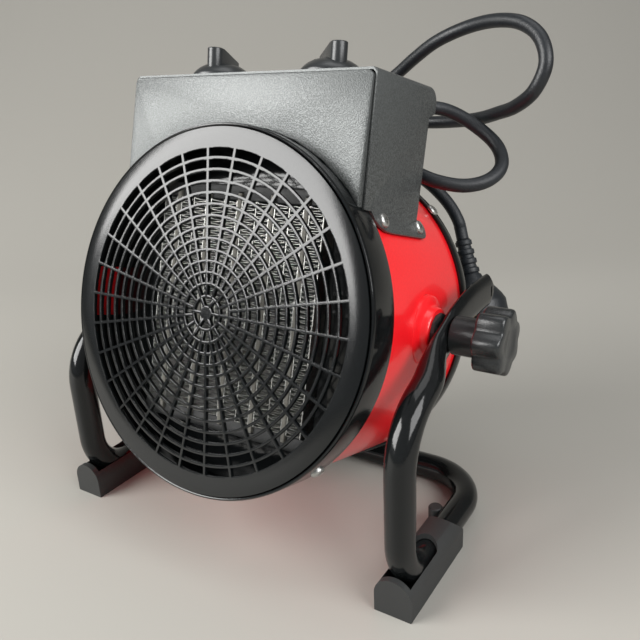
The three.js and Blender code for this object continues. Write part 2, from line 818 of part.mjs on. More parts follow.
// A moulded foot with an arched top, a long pocket for the tube and a post behind it.
function footSolid() {
  const half = footWidth / 2;
  const shoulder = footHeight - half;
  const front = new THREE.Shape();
  front.moveTo(-half, 0);
  front.lineTo(half, 0);
  front.lineTo(half, shoulder);
  front.absarc(0, shoulder, half, 0, Math.PI, false);
  front.lineTo(-half, 0);
  const side = new THREE.Shape([
    v2(footFront + 1, 0), v2(footFront, 1), v2(footFront, footHeight - 2), v2(footFront + 2, footHeight + 1),
    v2(footRear - footRearSlope, footHeight + 1), v2(footRear, footHeight - footRearSlope), v2(footRear, 0),
  ]);
  const shell = keep(plateXZ(front, footFront - 1, footRear + 1, 5), plateYZ(side, -half - 1, half + 1));
  const post = rodZ(postRadius, 0, postHeight).translate(-half, footRear + 9, 0);
  const web = block(-half - 1, -half + 3, footRear - 6, footRear + 9, 0, postHeight * 0.62);
  const passage = tubeRadius + fit;
  const bore = rod(passage, pocketRear - 6, footRear + 30, tubeSides).translate(0, 0, tubeHeight);
  const slotFront = footFront + footWall;
  const slot = new THREE.Shape();
  slot.moveTo(-passage, slotFront);
  slot.lineTo(passage, slotFront);
  slot.lineTo(passage, pocketRear - passage);
  slot.absarc(0, pocketRear - passage, passage, 0, Math.PI, false);
  slot.lineTo(-passage, slotFront);
  const pocket = weld(new THREE.ExtrudeGeometry(slot, { depth: 40, bevelEnabled: false, curveSegments: 4 })
    .translate(0, 0, tubeHeight - passage));
  return cut(join(shell, post, web), bore, pocket);
}

// ---------------------------------------------------------------- control box

const topRise = Math.tan(rad(boxTopSlope));
const wallFoot = flangeTop.z - 0.5;         // the walls run into the flanges' bend
const topAt = (y) => boxTopFront + (y - boxSideFront) * topRise;

// Side view of the cover: the walls, the sloping top and the lip behind the box.
function coverOutline(inset) {
  const rearTop = topAt(boxRear) - inset / Math.cos(rad(boxTopSlope));
  const radius = lipRadius - inset;
  const lipBack = boxRear + lipReach - inset;
  const centre = v2(lipBack - radius, rearTop - radius);
  const lipLow = topAt(boxRear) - lipDrop + inset * 0.6;
  const shape = new THREE.Shape();
  const front = inset ? -20 : boxSideFront;
  const frontTop = inset ? topAt(-20) - inset : boxTopFront;
  shape.moveTo(inset ? -20 : boxSideFront + boxSideLean, wallFoot);
  shape.lineTo(front, frontTop);
  shape.lineTo(centre.x, rearTop);
  shape.absarc(centre.x, centre.y, radius, Math.PI / 2, 0, true);
  shape.lineTo(lipBack, lipLow);
  shape.lineTo(boxRear + 0.4 + inset * 0.2, lipLow - hemRise + inset * 0.3);
  shape.lineTo(boxRear + (inset ? 0.6 : 0), lipLow - hemRise + inset * 0.3);
  shape.lineTo(boxRear + (inset ? 0.6 : 0), inset ? -20 : wallFoot);
  if (inset) shape.lineTo(-20, -20);
  return shape;
}

// The flange is drawn flat with its bend line on y, then turned down to the drum.
function coverFlange() {
  const shape = new THREE.Shape();
  const start = bandRear + fit;
  shape.moveTo(start, 0);
  shape.quadraticCurveTo(start + 2, flangeWidth, start + 18, flangeWidth);
  shape.lineTo(boxRear + lipReach - 6, flangeWidth);
  shape.absarc(boxRear + lipReach - 6, flangeWidth - 5, 5, Math.PI / 2, -Math.PI / 4, true);
  shape.lineTo(boxRear, 0);
  const flat = new THREE.ExtrudeGeometry(shape, { depth: sheet, bevelEnabled: false, curveSegments: 4 });
  const basis = new THREE.Matrix4().makeBasis(v3(0, 1, 0), flangeFall, flangeOut.clone().negate());
  return weld(flat.applyMatrix4(basis).translate(flangeTop.x, 0, flangeTop.z));
}

function boxCover() {
  const outer = plateYZ(coverOutline(0), -boxHalf, boxHalf, 4);
  const hollow = plateYZ(coverOutline(sheet), -boxHalf + sheet, boxHalf - sheet, 4);
  const walls = cut(outer, hollow);
  const flange = coverFlange();
  const holes = [-1, 1].map((side) => rodZ(bushRadius + fit, -12, 12)
    .rotateX(rad(boxTopSlope)).translate(side * dialOffset, dialBack, topAt(dialBack)));
  const screws = flangeHeads().flatMap((head) => [head, mirrored(head)]);
  const overBand = rod(bandRadius + fit, 0, bandRear + fit, roundSteps);
  return cut(join(walls, flange, mirrored(flange), ...screws), ...holes, overBand);
}

function boxFrontPanel() {
  const outline = (inset) => {
    const half = boxHalf - sheet - fit - inset;
    const top = topAt(boxFront) - sheet - fit - inset;
    const radius = boxCorner - inset;
    const shape = new THREE.Shape();
    shape.moveTo(-half, 0);
    shape.lineTo(half, 0);
    shape.lineTo(half, top - radius);
    shape.absarc(half - radius, top - radius, radius, 0, Math.PI / 2, false);
    shape.lineTo(-half + radius, top);
    shape.absarc(-half + radius, top - radius, radius, Math.PI / 2, Math.PI, false);
    return shape;
  };
  const pan = plateXZ(outline(0), boxFront, boxFront + panelFlange, 4);
  const hollow = plateXZ(outline(sheet), boxFront + sheet, boxFront + panelFlange + 1, 4);
  return cut(pan, hollow, rod(bandRadius + fit, 0, boxFront + panelFlange + 1, roundSteps));
}

function boxRearPanel() {
  const half = boxHalf - sheet - fit;
  const to = boxRear - rearPanelInset;
  const from = to - sheet;
  const wall = block(-half, half, from, to, 0, 200);
  const flanges = [-1, 1].map((side) => block(
    ...span(side * half, side * (half - sheet)), from - panelFlange, to, 0, 200));
  const under = weld(new THREE.ExtrudeGeometry(new THREE.Shape([
    v2(-20, topAt(-20) - sheet - 0.5), v2(120, topAt(120) - sheet - 0.5), v2(120, 300), v2(-20, 300),
  ]), { depth: 400, bevelEnabled: false }).rotateX(Math.PI / 2).rotateZ(Math.PI / 2).translate(-200, 0, 0));
  const drum = rod(drumRadius + fit, -20, 120, roundSteps);
  const glandHole = rod(glandRadius - 1.6 + fit, -20, 140).translate(glandPoint.x, 0, glandPoint.z);
  return cut(join(wall, ...flanges), under, drum, glandHole);
}

// ---------------------------------------------------------------- controls, in the box-top frame

const bushTop = 3;                  // the bush stands this far out of the top

function controlBody([width, depth, height]) {
  const under = -sheet - fit;
  const box = block(-width / 2, width / 2, -depth / 2, depth / 2, under - height, under);
  const bush = rodZ(bushRadius, under - 1, bushTop);
  return cut(join(box, bush), rodZ(spindleRadius + bearingFit, under - height + 4, 20));
}

function spindle(height) {
  const under = -sheet - fit;
  const round = rodZ(spindleRadius, under - height + 4.4, dialHeight - 7);
  const flat = block(spindleRadius * 0.55, 10, -10, 10, bushTop + 1, 30);
  return cut(round, flat);
}

// Dial: a skirt, a dome and a raised grip whose rounded nose is the pointer.
function dial() {
  const base = 0.6;
  const dome = [[dialRadius, base], [dialRadius, base + dialSkirt], [dialRadius * 0.8, base + dialDome - 3],
    [dialRadius * 0.5, base + dialDome - 0.7], [0, base + dialDome]];
  const body = turned([[0, base], ...dome], smallSteps).rotateX(Math.PI / 2);
  const nose = -gripReach + gripWidth / 2;
  const plan = new THREE.Shape();
  plan.moveTo(-gripWidth / 2, nose);
  plan.absarc(0, nose, gripWidth / 2, Math.PI, 0, false);
  plan.lineTo(gripWidth * 0.36, gripReach);
  plan.lineTo(-gripWidth * 0.36, gripReach);
  const bar = weld(new THREE.ExtrudeGeometry(plan, {
    depth: dialHeight, bevelEnabled: false, curveSegments: 4 }));
  const side = new THREE.Shape([v2(-gripReach - 1, base + 1), v2(gripReach + 1, base + 1), v2(gripReach + 1, gripTail),
    v2(nose + gripWidth * 0.55, dialHeight - 1.2), v2(nose + gripWidth * 0.4, dialHeight), v2(-gripReach - 1, dialHeight)]);
  const grip = keep(bar, plateYZ(side, -20, 20));
  const bush = rodZ(bushRadius + 0.6, -1, bushTop + 1.2);
  const bore = cut(rodZ(spindleRadius + fit, -1, dialHeight - 6),
    block(spindleRadius * 0.55 + fit, 10, -10, 10, bushTop + 1.5, 30));
  return cut(join(body, grip), bush, bore);
}

// ---------------------------------------------------------------- mains lead

// The coil lies on the drum behind the box: the spiral winds in, climbs a layer in the
// half turn where it turns round, and winds out again on top.
const layerOne = drumRadius + 1.8 + cordRadius;
const coilTurns = coilTurnsIn * 2 + 0.5;
const coilOuter = coilInner + coilTurns / 2 * coilPitch;

function leanedOnDrum(point) {
  return point.applyAxisAngle(v3(0, 1, 0), -rad(coilLean));
}

function coilPoints() {
  const count = Math.round(coilTurns * coilSteps);
  const loops = Array.from({ length: count + 1 }, (_, i) => {
    const turns = i / coilSteps;
    const winding = Math.min(turns, coilTurns - turns);
    const climb = THREE.MathUtils.smoothstep(turns, coilTurnsIn, coilTurnsIn + 0.5);
    const radius = coilOuter - winding * coilPitch;
    const angle = Math.PI - turns * 2 * Math.PI;
    return leanedOnDrum(v3(radius * Math.cos(angle), coilMiddle + radius * Math.sin(angle),
      layerOne + climb * coilPitch));
  });
  return [ahead(loops[0]), ...loops, ahead(loops[count])];
}

// Both ends of the coil run straight towards the box for one diameter.
function ahead(point, reach = cordRadius * 2) {
  return point.clone().add(v3(0, -reach, 0));
}

const coil = coilPoints();
const coilStart = coil[0];
const coilEnd = coil[coil.length - 1];
const glandPoint = coilStart;               // the gland is in line with the coil's first end
const glandEnd = boxRear - rearPanelInset + glandReach;

// The route from the coil to the plug, chosen by hand: a climbing turn behind the box, a
// tall loop to the right, a turn back behind the lip, a lower loop, and down the drum.
const leadRoute = [
  [19.8, 102, 120.3], [12.5, 95.3, 122.5], [1, 92.3, 124], [-12, 95, 124.5], [-22, 104, 126],
  [-26, 118, 129.5], [-23, 133, 135], [-12, 144, 142], [4, 149, 151], [20, 146, 160],
  [36, 139, 168.5], [53, 132, 176], [75, 126, 181.5], [97, 117, 181], [114, 110.5, 176],
  [126, 106, 166], [131, 104.5, 152], [126, 107.5, 139], [114, 116.5, 132.5], [100, 127.5, 131],
  [85, 138, 130], [65, 149, 130.5], [43, 155, 131], [19, 152, 131.5], [1, 141, 132.5],
  [-6, 125, 134], [0, 108, 135], [15, 98, 135], [35, 99, 133], [53, 109, 131.5], [70, 121, 131.5],
  [88, 128, 123], [103, 127, 111], [109, 120, 99], [106, 111, 90], [96, 102, 85], [80, 94, 86],
  [58, 91, 94], [42, 96, 99.5], [32.5, 107, 103], [29.5, 121, 104.5], [33, 135, 102],
  [43, 147, 96], [55, 154, 87.5], [66, 157, 77], [73, 158, 67],
];
const plugStart = v3(76.5, 160, 56);
const plugAim = v3(0.33, 0.06, -0.94).normalize();

function leadCurve() {
  const first = ahead(coilEnd, fit);
  const last = plugStart.clone().addScaledVector(plugAim, -fit);
  return new THREE.CatmullRomCurve3([
    first, ahead(first), ...leadRoute.map(([x, y, z]) => v3(x, y, z)),
    last.clone().addScaledVector(plugAim, -cordRadius * 2), last], false, 'centripetal');
}

function tailCurve() {
  return new THREE.LineCurve3(v3(glandPoint.x, glandEnd + fit, glandPoint.z), ahead(coilStart, fit));
}

function cord(curve, steps) {
  const section = disc(cordRadius, cordSides);
  return weld(new THREE.ExtrudeGeometry(section, { steps, extrudePath: curve, bevelEnabled: false }));
}

// Gland in the rear panel: nut inside, body outside, tapered and ribbed.
function gland() {
  const panel = boxRear - rearPanelInset;
  const neck = glandRadius - 1.6;
  const ribs = [];
  for (let i = 0; i < 3; i++) {
    const y = lerp(panel + 7, glandEnd - 4, i / 2);
    const radius = lerp(glandRadius - 0.6, cordRadius + 2, i / 2);
    ribs.push([radius, y - 1.1], [radius, y + 1.1], [radius - 1.1, y + 2]);
  }
  const profile = [[0, panel - sheet - 5], [neck + 1.8, panel - sheet - 5], [neck + 1.8, panel - sheet - fit],
    [neck, panel - sheet - fit], [neck, panel + fit], [glandRadius, panel + fit], [glandRadius, panel + 3.4],
    ...ribs, [cordRadius + 0.9, glandEnd], [0, glandEnd]];
  return turned(profile, glandSteps).translate(glandPoint.x, 0, glandPoint.z);
}

// A flat strap round the coil's two layers, with its buckle on top.
function coilTie() {
  const inner = coilInner - cordRadius - fit;
  const outer = coilOuter + cordRadius + fit;
  const low = layerOne - cordRadius - fit;
  const high = layerOne + coilPitch + cordRadius + fit;
  const outline = (grow) => new THREE.Shape([
    v2(inner - grow, low - grow), v2(outer + grow, low - grow), v2(outer + grow, high + grow), v2(inner - grow, high + grow)]);
  const band = outline(tieWall);
  band.holes.push(outline(0));
  const strap = plateXZ(band, -tieWidth / 2, tieWidth / 2);
  const middle = (inner + outer) / 2;
  const buckle = block(middle - 4.5, middle + 4.5, -tieWidth / 2 - 1.2, tieWidth / 2 + 1.2, high + 0.2, high + 4.6);
  const tail = block(middle, middle + 20, -tieWidth * 0.35, tieWidth * 0.35, high + 4, high + 5);
  const atBack = join(strap, buckle, tail).rotateZ(rad(tieAngle));
  return leanedGeometry(atBack.translate(0, coilMiddle, 0));
}

const tieAngle = 60;

function leanedGeometry(geometry) {
  return geometry.rotateY(-rad(coilLean));
}

// Moulded plug: ribbed relief, sloping shoulder, round body, two pins.
function plug() {
  const ribs = [];
  for (let i = 0; i < reliefRibs; i++) {
    const y = lerp(2, reliefLength - 5, i / (reliefRibs - 1));
    const radius = lerp(cordRadius + 1.4, reliefRadius, i / (reliefRibs - 1));
    ribs.push([radius, y - 1.4], [radius, y + 1.4], [radius - 1.1, y + 2]);
  }
  const shoulder = reliefLength + plugShoulder;
  const end = shoulder + plugBody;
  const body = turned([[0, 0], [cordRadius + 0.8, 0], ...ribs, [reliefRadius + 1, reliefLength],
    [plugRadius * 0.62, reliefLength + plugShoulder * 0.3], [plugRadius * 0.95, shoulder - 2],
    [plugRadius, shoulder], [plugRadius, end - 1.5], [plugRadius - 1.2, end], [0, end]], smallSteps);
  const pins = [-1, 1].map((side) => rod(plugPinRadius, end - 1, end + plugPinLength, screwSteps)
    .translate(side * plugPinSpacing, 0, 0));
  const notches = [-1, 1].map((side) => block(-4, 4, shoulder + 2, end + 1,
    side > 0 ? plugRadius - 3 : -plugRadius - 1, side > 0 ? plugRadius + 1 : -plugRadius + 3));
  const whole = cut(join(body, ...pins), ...notches);
  const turn = new THREE.Quaternion().setFromUnitVectors(v3(0, 1, 0), plugAim);
  return whole.applyQuaternion(turn).translate(plugStart.x, plugStart.y, plugStart.z);
}

// ---------------------------------------------------------------- assembly

function buildStand() {
  add(stand, 'stand_tube', standTube(), blackPaint);
  const foot = footSolid();
  add(stand, 'foot_right', moved(foot, legSpan, 0, 0), blackPlastic);
  add(stand, 'foot_left', moved(mirrored(foot), -legSpan, 0, 0), blackPlastic);
  addPair(stand, 'clamp_collar', clampCollar(), glossPlastic, pivotHeight);
  addPair(stand, 'clamp_knob', clampKnob(), glossPlastic, pivotHeight);
}

function addPair(parent, name, geometry, material, height, back = 0) {
  add(parent, `${name}_right`, moved(geometry, 0, back, height), material);
  add(parent, `${name}_left`, moved(mirrored(geometry), 0, back, height), material);
}

function buildDrum() {
  add(body, 'drum_shell', drumShell(), redPaint);
  add(body, 'front_band', frontBand(), blackPaint);
  add(body, 'front_grille', frontGrille(), blackPaint);
  add(body, 'rear_band', rearBand(), blackPaint);
  add(body, 'rear_grille', rearGrille(), blackPaint);
  addPair(body, 'toothed_washer', toothedWasher(), blackPlastic, pivotRise, pivotBack);
  addPair(body, 'clamp_bolt', clampBolt(), steel, pivotRise, pivotBack);
}

function buildHeatingCore() {
  add(body, 'core_fins', coreFins(), aluminium);
  barMiddles.forEach((x, i) => add(body, `ceramic_bar_${i + 1}`, ceramicBar(x), ceramic));
  add(body, 'core_holder_top', coreHolder(1), blackPlastic);
  add(body, 'core_holder_bottom', coreHolder(-1), blackPlastic);
  add(body, 'thermal_cutout', thermalCutout(), steel);
  add(body, 'baffle', baffle(), blackPaint);
}

function buildFanDrive() {
  add(body, 'fan', fan(), blackPlastic);
  add(body, 'motor_shaft', rod(shaftRadius, shaftFront, shaftRear), steel);
  add(body, 'fan_nut', cut(rod(5.4, shaftFront + 0.6, shaftFront + 4.4, 6), rod(shaftRadius + fit, 0, 140)), brassNut());
  add(body, 'motor', motor(), steel);
  add(body, 'motor_bracket', motorBracket(), steel);
}

function brassNut() {
  return finish(0xb08d4a, 0.4, 0.8);
}

function buildBox() {
  add(body, 'box_cover', boxCover(), blackTexture);
  add(body, 'box_front_panel', boxFrontPanel(), blackTexture);
  add(body, 'box_rear_panel', boxRearPanel(), blackTexture);
  boxTop.position.set(0, dialBack, topAt(dialBack));
  boxTop.rotation.x = rad(boxTopSlope);
  const modeX = -dialOffset;
  const heatX = dialOffset;
  add(boxTop, 'mode_switch', controlBody(switchSize), blackPlastic).position.x = modeX;
  add(boxTop, 'thermostat', controlBody(thermostatSize), steel).position.x = heatX;
  addTurned('mode_spindle', spindle(switchSize[2]), steel, modeX, modeTurn);
  addTurned('thermostat_spindle', spindle(thermostatSize[2]), steel, heatX, thermostatTurn);
  addTurned('mode_dial', dial(), blackPlastic, modeX, modeTurn);
  addTurned('thermostat_dial', dial(), blackPlastic, heatX, thermostatTurn);
}

function addTurned(name, geometry, material, x, turn) {
  const mesh = add(boxTop, name, geometry, material);
  mesh.position.x = x;
  mesh.rotation.z = rad(turn);
}

function buildLead() {
  const lead = leadCurve();
  const tail = tailCurve();
  add(body, 'lead_gland', gland(), rubber);
  add(body, 'lead_tail', cord(tail, 1), rubber);
  add(body, 'lead_coil', roundTube(coil, cordRadius, coilSides, v3(0, 0, 1)), rubber);
  add(body, 'lead', cord(lead, Math.round(lead.getLength() / leadStep)), rubber);
  add(body, 'lead_tie', coilTie(), glossPlastic);
  add(body, 'lead_plug', plug(), rubber);
  report('lead length', tail.getLength() + pathLength(coil) + lead.getLength());
  report('least gap in the coil', leastGap(coil));
}

// Least distance between stretches of the coil that are over half a loop apart.
function leastGap(points) {
  let least = Infinity;
  for (let i = 0; i < points.length; i++) {
    for (let j = i + coilSteps / 2; j < points.length; j++) {
      least = Math.min(least, points[i].distanceTo(points[j]));
    }
  }
  return least - cordRadius * 2;
}

function report(label, value) {
  console.log(`${label}: ${value.toFixed(2)} mm`);
}

// The part is centred over z = 0 by its rigid pieces, without the lead.
function centre() {
  model.updateMatrixWorld(true);
  const box = new THREE.Box3();
  model.traverse((mesh) => {
    if (mesh.isMesh && !mesh.name.startsWith('lead')) box.expandByObject(mesh, true);
  });
  model.position.y = -(box.min.y + box.max.y) / 2;
  model.updateMatrixWorld(true);
}

buildStand();
buildDrum();
buildHeatingCore();
buildFanDrive();
buildBox();
buildLead();
centre();

export default model;
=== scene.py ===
# A forced air heater dressed for rendering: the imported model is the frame, and each
# operator adds the finished pieces of one sub-assembly. Lengths in the lists of points
# are in millimetres, and everything placed in the scene is in metres.
import json
import math

import bmesh
import bpy
from bpy.props import FloatProperty, FloatVectorProperty, IntProperty, PointerProperty
from mathutils import Matrix, Vector


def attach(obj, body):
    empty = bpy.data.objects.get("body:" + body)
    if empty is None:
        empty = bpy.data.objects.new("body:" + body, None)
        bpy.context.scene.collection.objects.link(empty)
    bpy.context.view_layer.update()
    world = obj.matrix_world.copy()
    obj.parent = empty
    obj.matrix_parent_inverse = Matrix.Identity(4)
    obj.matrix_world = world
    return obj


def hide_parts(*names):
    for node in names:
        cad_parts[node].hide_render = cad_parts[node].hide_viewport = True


bl_info = {
    "name": "Forced Air Heater",
    "version": (1, 0, 0),
    "blender": (4, 5, 0),
    "location": "3D View > Sidebar > Heater",
    "description": "Builds a round workshop fan heater piece by piece around its packed frame",
    "category": "Object",
}

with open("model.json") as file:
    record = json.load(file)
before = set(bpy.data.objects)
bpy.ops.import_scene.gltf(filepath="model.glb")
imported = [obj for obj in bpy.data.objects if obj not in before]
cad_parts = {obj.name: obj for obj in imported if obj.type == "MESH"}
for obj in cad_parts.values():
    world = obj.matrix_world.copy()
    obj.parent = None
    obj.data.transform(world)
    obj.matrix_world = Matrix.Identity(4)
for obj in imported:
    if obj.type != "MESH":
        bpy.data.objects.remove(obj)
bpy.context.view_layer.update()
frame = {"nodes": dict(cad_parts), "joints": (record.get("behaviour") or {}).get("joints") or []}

# ---- the shared frame

MM = 0.001
JOINTS = {joint["name"]: joint for joint in frame["joints"]}
PIVOT = Vector(JOINTS["heater_tilt"]["pos_m"])
FAN_AXIS = JOINTS["fan_spin"]["axis"]
TILT = math.atan2(-FAN_AXIS[2], FAN_AXIS[1])
PIVOT_BACK = 70 * MM                # the pivot behind the outlet face
PIVOT_RISE = 3 * MM                 # the pivot over the drum's axis
BOX_SLOPE = math.radians(5.6)       # the box's top, in the drum frame

ALONG_Y = Matrix.Rotation(math.radians(-90), 4, "X")     # a turned piece's axis laid along y
ALONG_X = Matrix.Rotation(math.radians(90), 4, "Y")
MIRROR_X = Matrix.Diagonal((-1, 1, 1, 1))
SIDES = (("right", Matrix()), ("left", MIRROR_X))
DRUM = (Matrix.Translation(PIVOT) @ Matrix.Rotation(-TILT, 4, "X")
        @ Matrix.Translation((0, -PIVOT_BACK, -PIVOT_RISE)))
STAND = Matrix.Translation((0, PIVOT.y, 0))
CLAMP = Matrix.Translation(PIVOT)


def mm(*values):
    """Millimetres to metres, as one number or a tuple."""
    return values[0] * MM if len(values) == 1 else tuple(value * MM for value in values)


def shift(*values):
    """A move by millimetres."""
    return Matrix.Translation(mm(*values))


def eased(value, start, end):
    """0 up to the start and 1 from the end on, with a smooth rise between them."""
    share = min(max((value - start) / (end - start), 0), 1)
    return share * share * (3 - 2 * share)


# ---- modelling helpers

def begin():
    if bpy.context.mode != "OBJECT":
        bpy.ops.object.mode_set(mode="OBJECT")
    bpy.ops.object.select_all(action="DESELECT")
    bpy.context.tool_settings.mesh_select_mode = (True, False, False)


def pick(obj):
    begin()
    obj.select_set(True)
    bpy.context.view_layer.objects.active = obj


def named(name):
    obj = bpy.context.active_object
    obj.name = name
    obj.data.name = name
    return obj


def linked(name, data):
    """A new object of the scene with the given data."""
    obj = bpy.data.objects.new(name, data)
    bpy.context.scene.collection.objects.link(obj)
    return obj


def edit(obj):
    pick(obj)
    bpy.ops.object.mode_set(mode="EDIT")


def select_all():
    bpy.ops.mesh.select_all(action="SELECT")


def select_where(obj, kind, test):
    """In edit mode, selects the faces, edges or vertices whose middle passes the test."""
    bpy.ops.mesh.select_mode(type=kind)
    bpy.ops.mesh.select_all(action="DESELECT")
    mesh = bmesh.from_edit_mesh(obj.data)
    if kind == "FACE":
        found = [face for face in mesh.faces if test(face.calc_center_median())]
    elif kind == "EDGE":
        found = [edge for edge in mesh.edges if test(edge.verts[0].co, edge.verts[1].co)]
    else:
        found = [vert for vert in mesh.verts if test(vert.co)]
    for element in found:
        element.select_set(True)
    mesh.select_flush_mode()
    bmesh.update_edit_mesh(obj.data)


def outward(obj):
    edit(obj)
    select_all()
    bpy.ops.mesh.normals_make_consistent(inside=False)
    begin()


def modify(obj, kind, **settings):
    """Adds a modifier, sets it up and applies it."""
    pick(obj)
    bpy.ops.object.modifier_add(type=kind)
    modifier = obj.modifiers[-1]
    for key, value in settings.items():
        setattr(modifier, key, value)
    bpy.ops.object.modifier_apply(modifier=modifier.name)


def round_edges(obj, width, segments=2, limit=32):
    modify(obj, "BEVEL", width=width, segments=segments, limit_method="ANGLE",
           angle_limit=math.radians(limit))


def turned(name, profile, steps, ring=False):
    """A circle extruded and scaled through (radius, height) points in mm, turned about Z."""
    begin()
    radius, height = profile[0]
    bpy.ops.mesh.primitive_circle_add(vertices=steps, radius=mm(radius))
    obj = named(name)
    edit(obj)
    select_all()
    bpy.ops.transform.translate(value=(0, 0, mm(height)))
    for next_radius, next_height in profile[1:] + (profile[:1] if ring else []):
        bpy.ops.mesh.extrude_region_move(
            TRANSFORM_OT_translate={"value": (0, 0, mm(next_height - height))})
        scale = next_radius / radius
        bpy.ops.transform.resize(value=(scale, scale, 1), center_override=(0, 0, 0))
        radius, height = next_radius, next_height
    select_all()
    if ring:
        bpy.ops.mesh.remove_doubles(threshold=1e-6)
    else:
        bpy.ops.mesh.fill_holes(sides=0)
    outward(obj)
    return obj


def slab(name, low, high):
    """A box between two corners in mm, ready to be shaped."""
    begin()
    bpy.ops.mesh.primitive_cube_add(size=1)
    obj = named(name)
    middle = [(a + b) / 2 * MM for a, b in zip(low, high)]
    size = [(b - a) * MM for a, b in zip(low, high)]
    obj.data.transform(Matrix.Translation(middle) @ Matrix.Diagonal((*size, 1)))
    return obj


def cad_copy(node, name):
    """A merged copy of a node's mesh, to finish where the node stands."""
    begin()
    obj = linked(name, frame["nodes"][node].data.copy())
    obj.data.name = name
    obj.data.materials.clear()
    edit(obj)
    select_all()
    bpy.ops.mesh.remove_doubles(threshold=2e-6)
    bpy.ops.mesh.dissolve_limited(angle_limit=math.radians(0.5))
    begin()
    return obj


def carve(obj, cutter):
    modify(obj, "BOOLEAN", operation="DIFFERENCE", solver="EXACT", object=cutter)
    bpy.data.objects.remove(cutter)


def joined(name, objects):
    begin()
    for obj in objects:
        obj.select_set(True)
    bpy.context.view_layer.objects.active = objects[0]
    bpy.ops.object.join()
    return named(name)


def move_mesh(obj, matrix):
    """Moves a mesh by the matrix; after a mirror its faces are turned outward again."""
    obj.data.transform(matrix)
    if matrix.determinant() < 0:
        edit(obj)
        select_all()
        bpy.ops.mesh.flip_normals()
        begin()


def copy_of(obj, name, matrix):
    """A copy with its own mesh, moved by the matrix."""
    twin = linked(name, obj.data.copy())
    twin.data.name = name
    move_mesh(twin, matrix)
    return twin


def dress(obj, body, slot, nodes=(), matrix=None, angle=35):
    """Smooths, places and paints a piece, hangs it on its body's empty and hides the nodes that it
    stands for.
    """
    pick(obj)
    bpy.ops.object.shade_smooth_by_angle(angle=math.radians(angle))
    if matrix is not None:
        move_mesh(obj, matrix)
    obj.data.materials.clear()
    obj.data.materials.append(finishes[slot])
    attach(obj, body)
    if nodes:
        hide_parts(*nodes)
    return obj


def rounded_copy(node, name, slot, width, body="heater"):
    """A node's copy with its edges rounded by the width in mm, dressed to replace the node."""
    piece = cad_copy(node, name)
    round_edges(piece, mm(width))
    return dress(piece, body, slot, [node])


# ---- shared effects

def effect_group(name, inputs, outputs):
    """A new node group with named sockets, and its input and output nodes."""
    tree = bpy.data.node_groups.new(name, "ShaderNodeTree")
    for label, kind in inputs:
        tree.interface.new_socket(name=label, in_out="INPUT", socket_type=f"NodeSocket{kind}")
    for label, kind in outputs:
        tree.interface.new_socket(name=label, in_out="OUTPUT", socket_type=f"NodeSocket{kind}")
    return tree, tree.nodes.new("NodeGroupInput"), tree.nodes.new("NodeGroupOutput")


def noise_node(tree, vector, scale, detail):
    node = tree.nodes.new("ShaderNodeTexNoise")
    node.inputs["Detail"].default_value = detail
    tree.links.new(vector, node.inputs["Vector"])
    tree.links.new(scale, node.inputs["Scale"])
    return node


def spread(tree, value, low, high):
    """Maps a noise value from its useful range to 0 to 1."""
    node = tree.nodes.new("ShaderNodeMapRange")
    node.inputs["From Min"].default_value = low
    node.inputs["From Max"].default_value = high
    tree.links.new(value, node.inputs["Value"])
    return node.outputs["Result"]


def colour_mix(tree, factor, first, second):
    node = tree.nodes.new("ShaderNodeMix")
    node.data_type = "RGBA"
    for source, socket in ((factor, node.inputs["Factor"]), (first, node.inputs[6]),
                           (second, node.inputs[7])):
        tree.links.new(source, socket)
    return node.outputs[2]


def grain_group():
    """Fine grain of a coat or a moulded skin: a height, and a speckled colour."""
    tree, start, end = effect_group(
        "surface_grain",
        [("Vector", "Vector"), ("Scale", "Float"), ("Dark", "Color"), ("Light", "Color")],
        [("Height", "Float"), ("Color", "Color")])
    noise = noise_node(tree, start.outputs["Vector"], start.outputs["Scale"], 2.0)
    mask = spread(tree, noise.outputs["Fac"], 0.38, 0.64)
    tree.links.new(mask, end.inputs["Height"])
    tree.links.new(colour_mix(tree, mask, start.outputs["Dark"], start.outputs["Light"]),
                   end.inputs["Color"])
    return tree


def patch_group():
    """Slow changes of tone and roughness, as handling and age leave on a surface."""
    tree, start, end = effect_group(
        "worn_patches",
        [("Vector", "Vector"), ("Scale", "Float"), ("Color", "Color"), ("Worn", "Color"),
         ("Smooth", "Float"), ("Rough", "Float")],
        [("Color", "Color"), ("Roughness", "Float")])
    noise = noise_node(tree, start.outputs["Vector"], start.outputs["Scale"], 5.0)
    mask = spread(tree, noise.outputs["Fac"], 0.42, 0.68)
    tree.links.new(colour_mix(tree, mask, start.outputs["Color"], start.outputs["Worn"]),
                   end.inputs["Color"])
    rough = tree.nodes.new("ShaderNodeMix")
    tree.links.new(mask, rough.inputs[0])
    tree.links.new(start.outputs["Smooth"], rough.inputs[2])
    tree.links.new(start.outputs["Rough"], rough.inputs[3])
    tree.links.new(rough.outputs[0], end.inputs["Roughness"])
    return tree


PATCH_SCALE = 9.0
GRAIN_HEIGHT = 0.2
COAT_ROUGHNESS = 0.06


def shade(colour, factor):
    return (*[min(1.0, channel * factor) for channel in colour[:3]], 1.0)


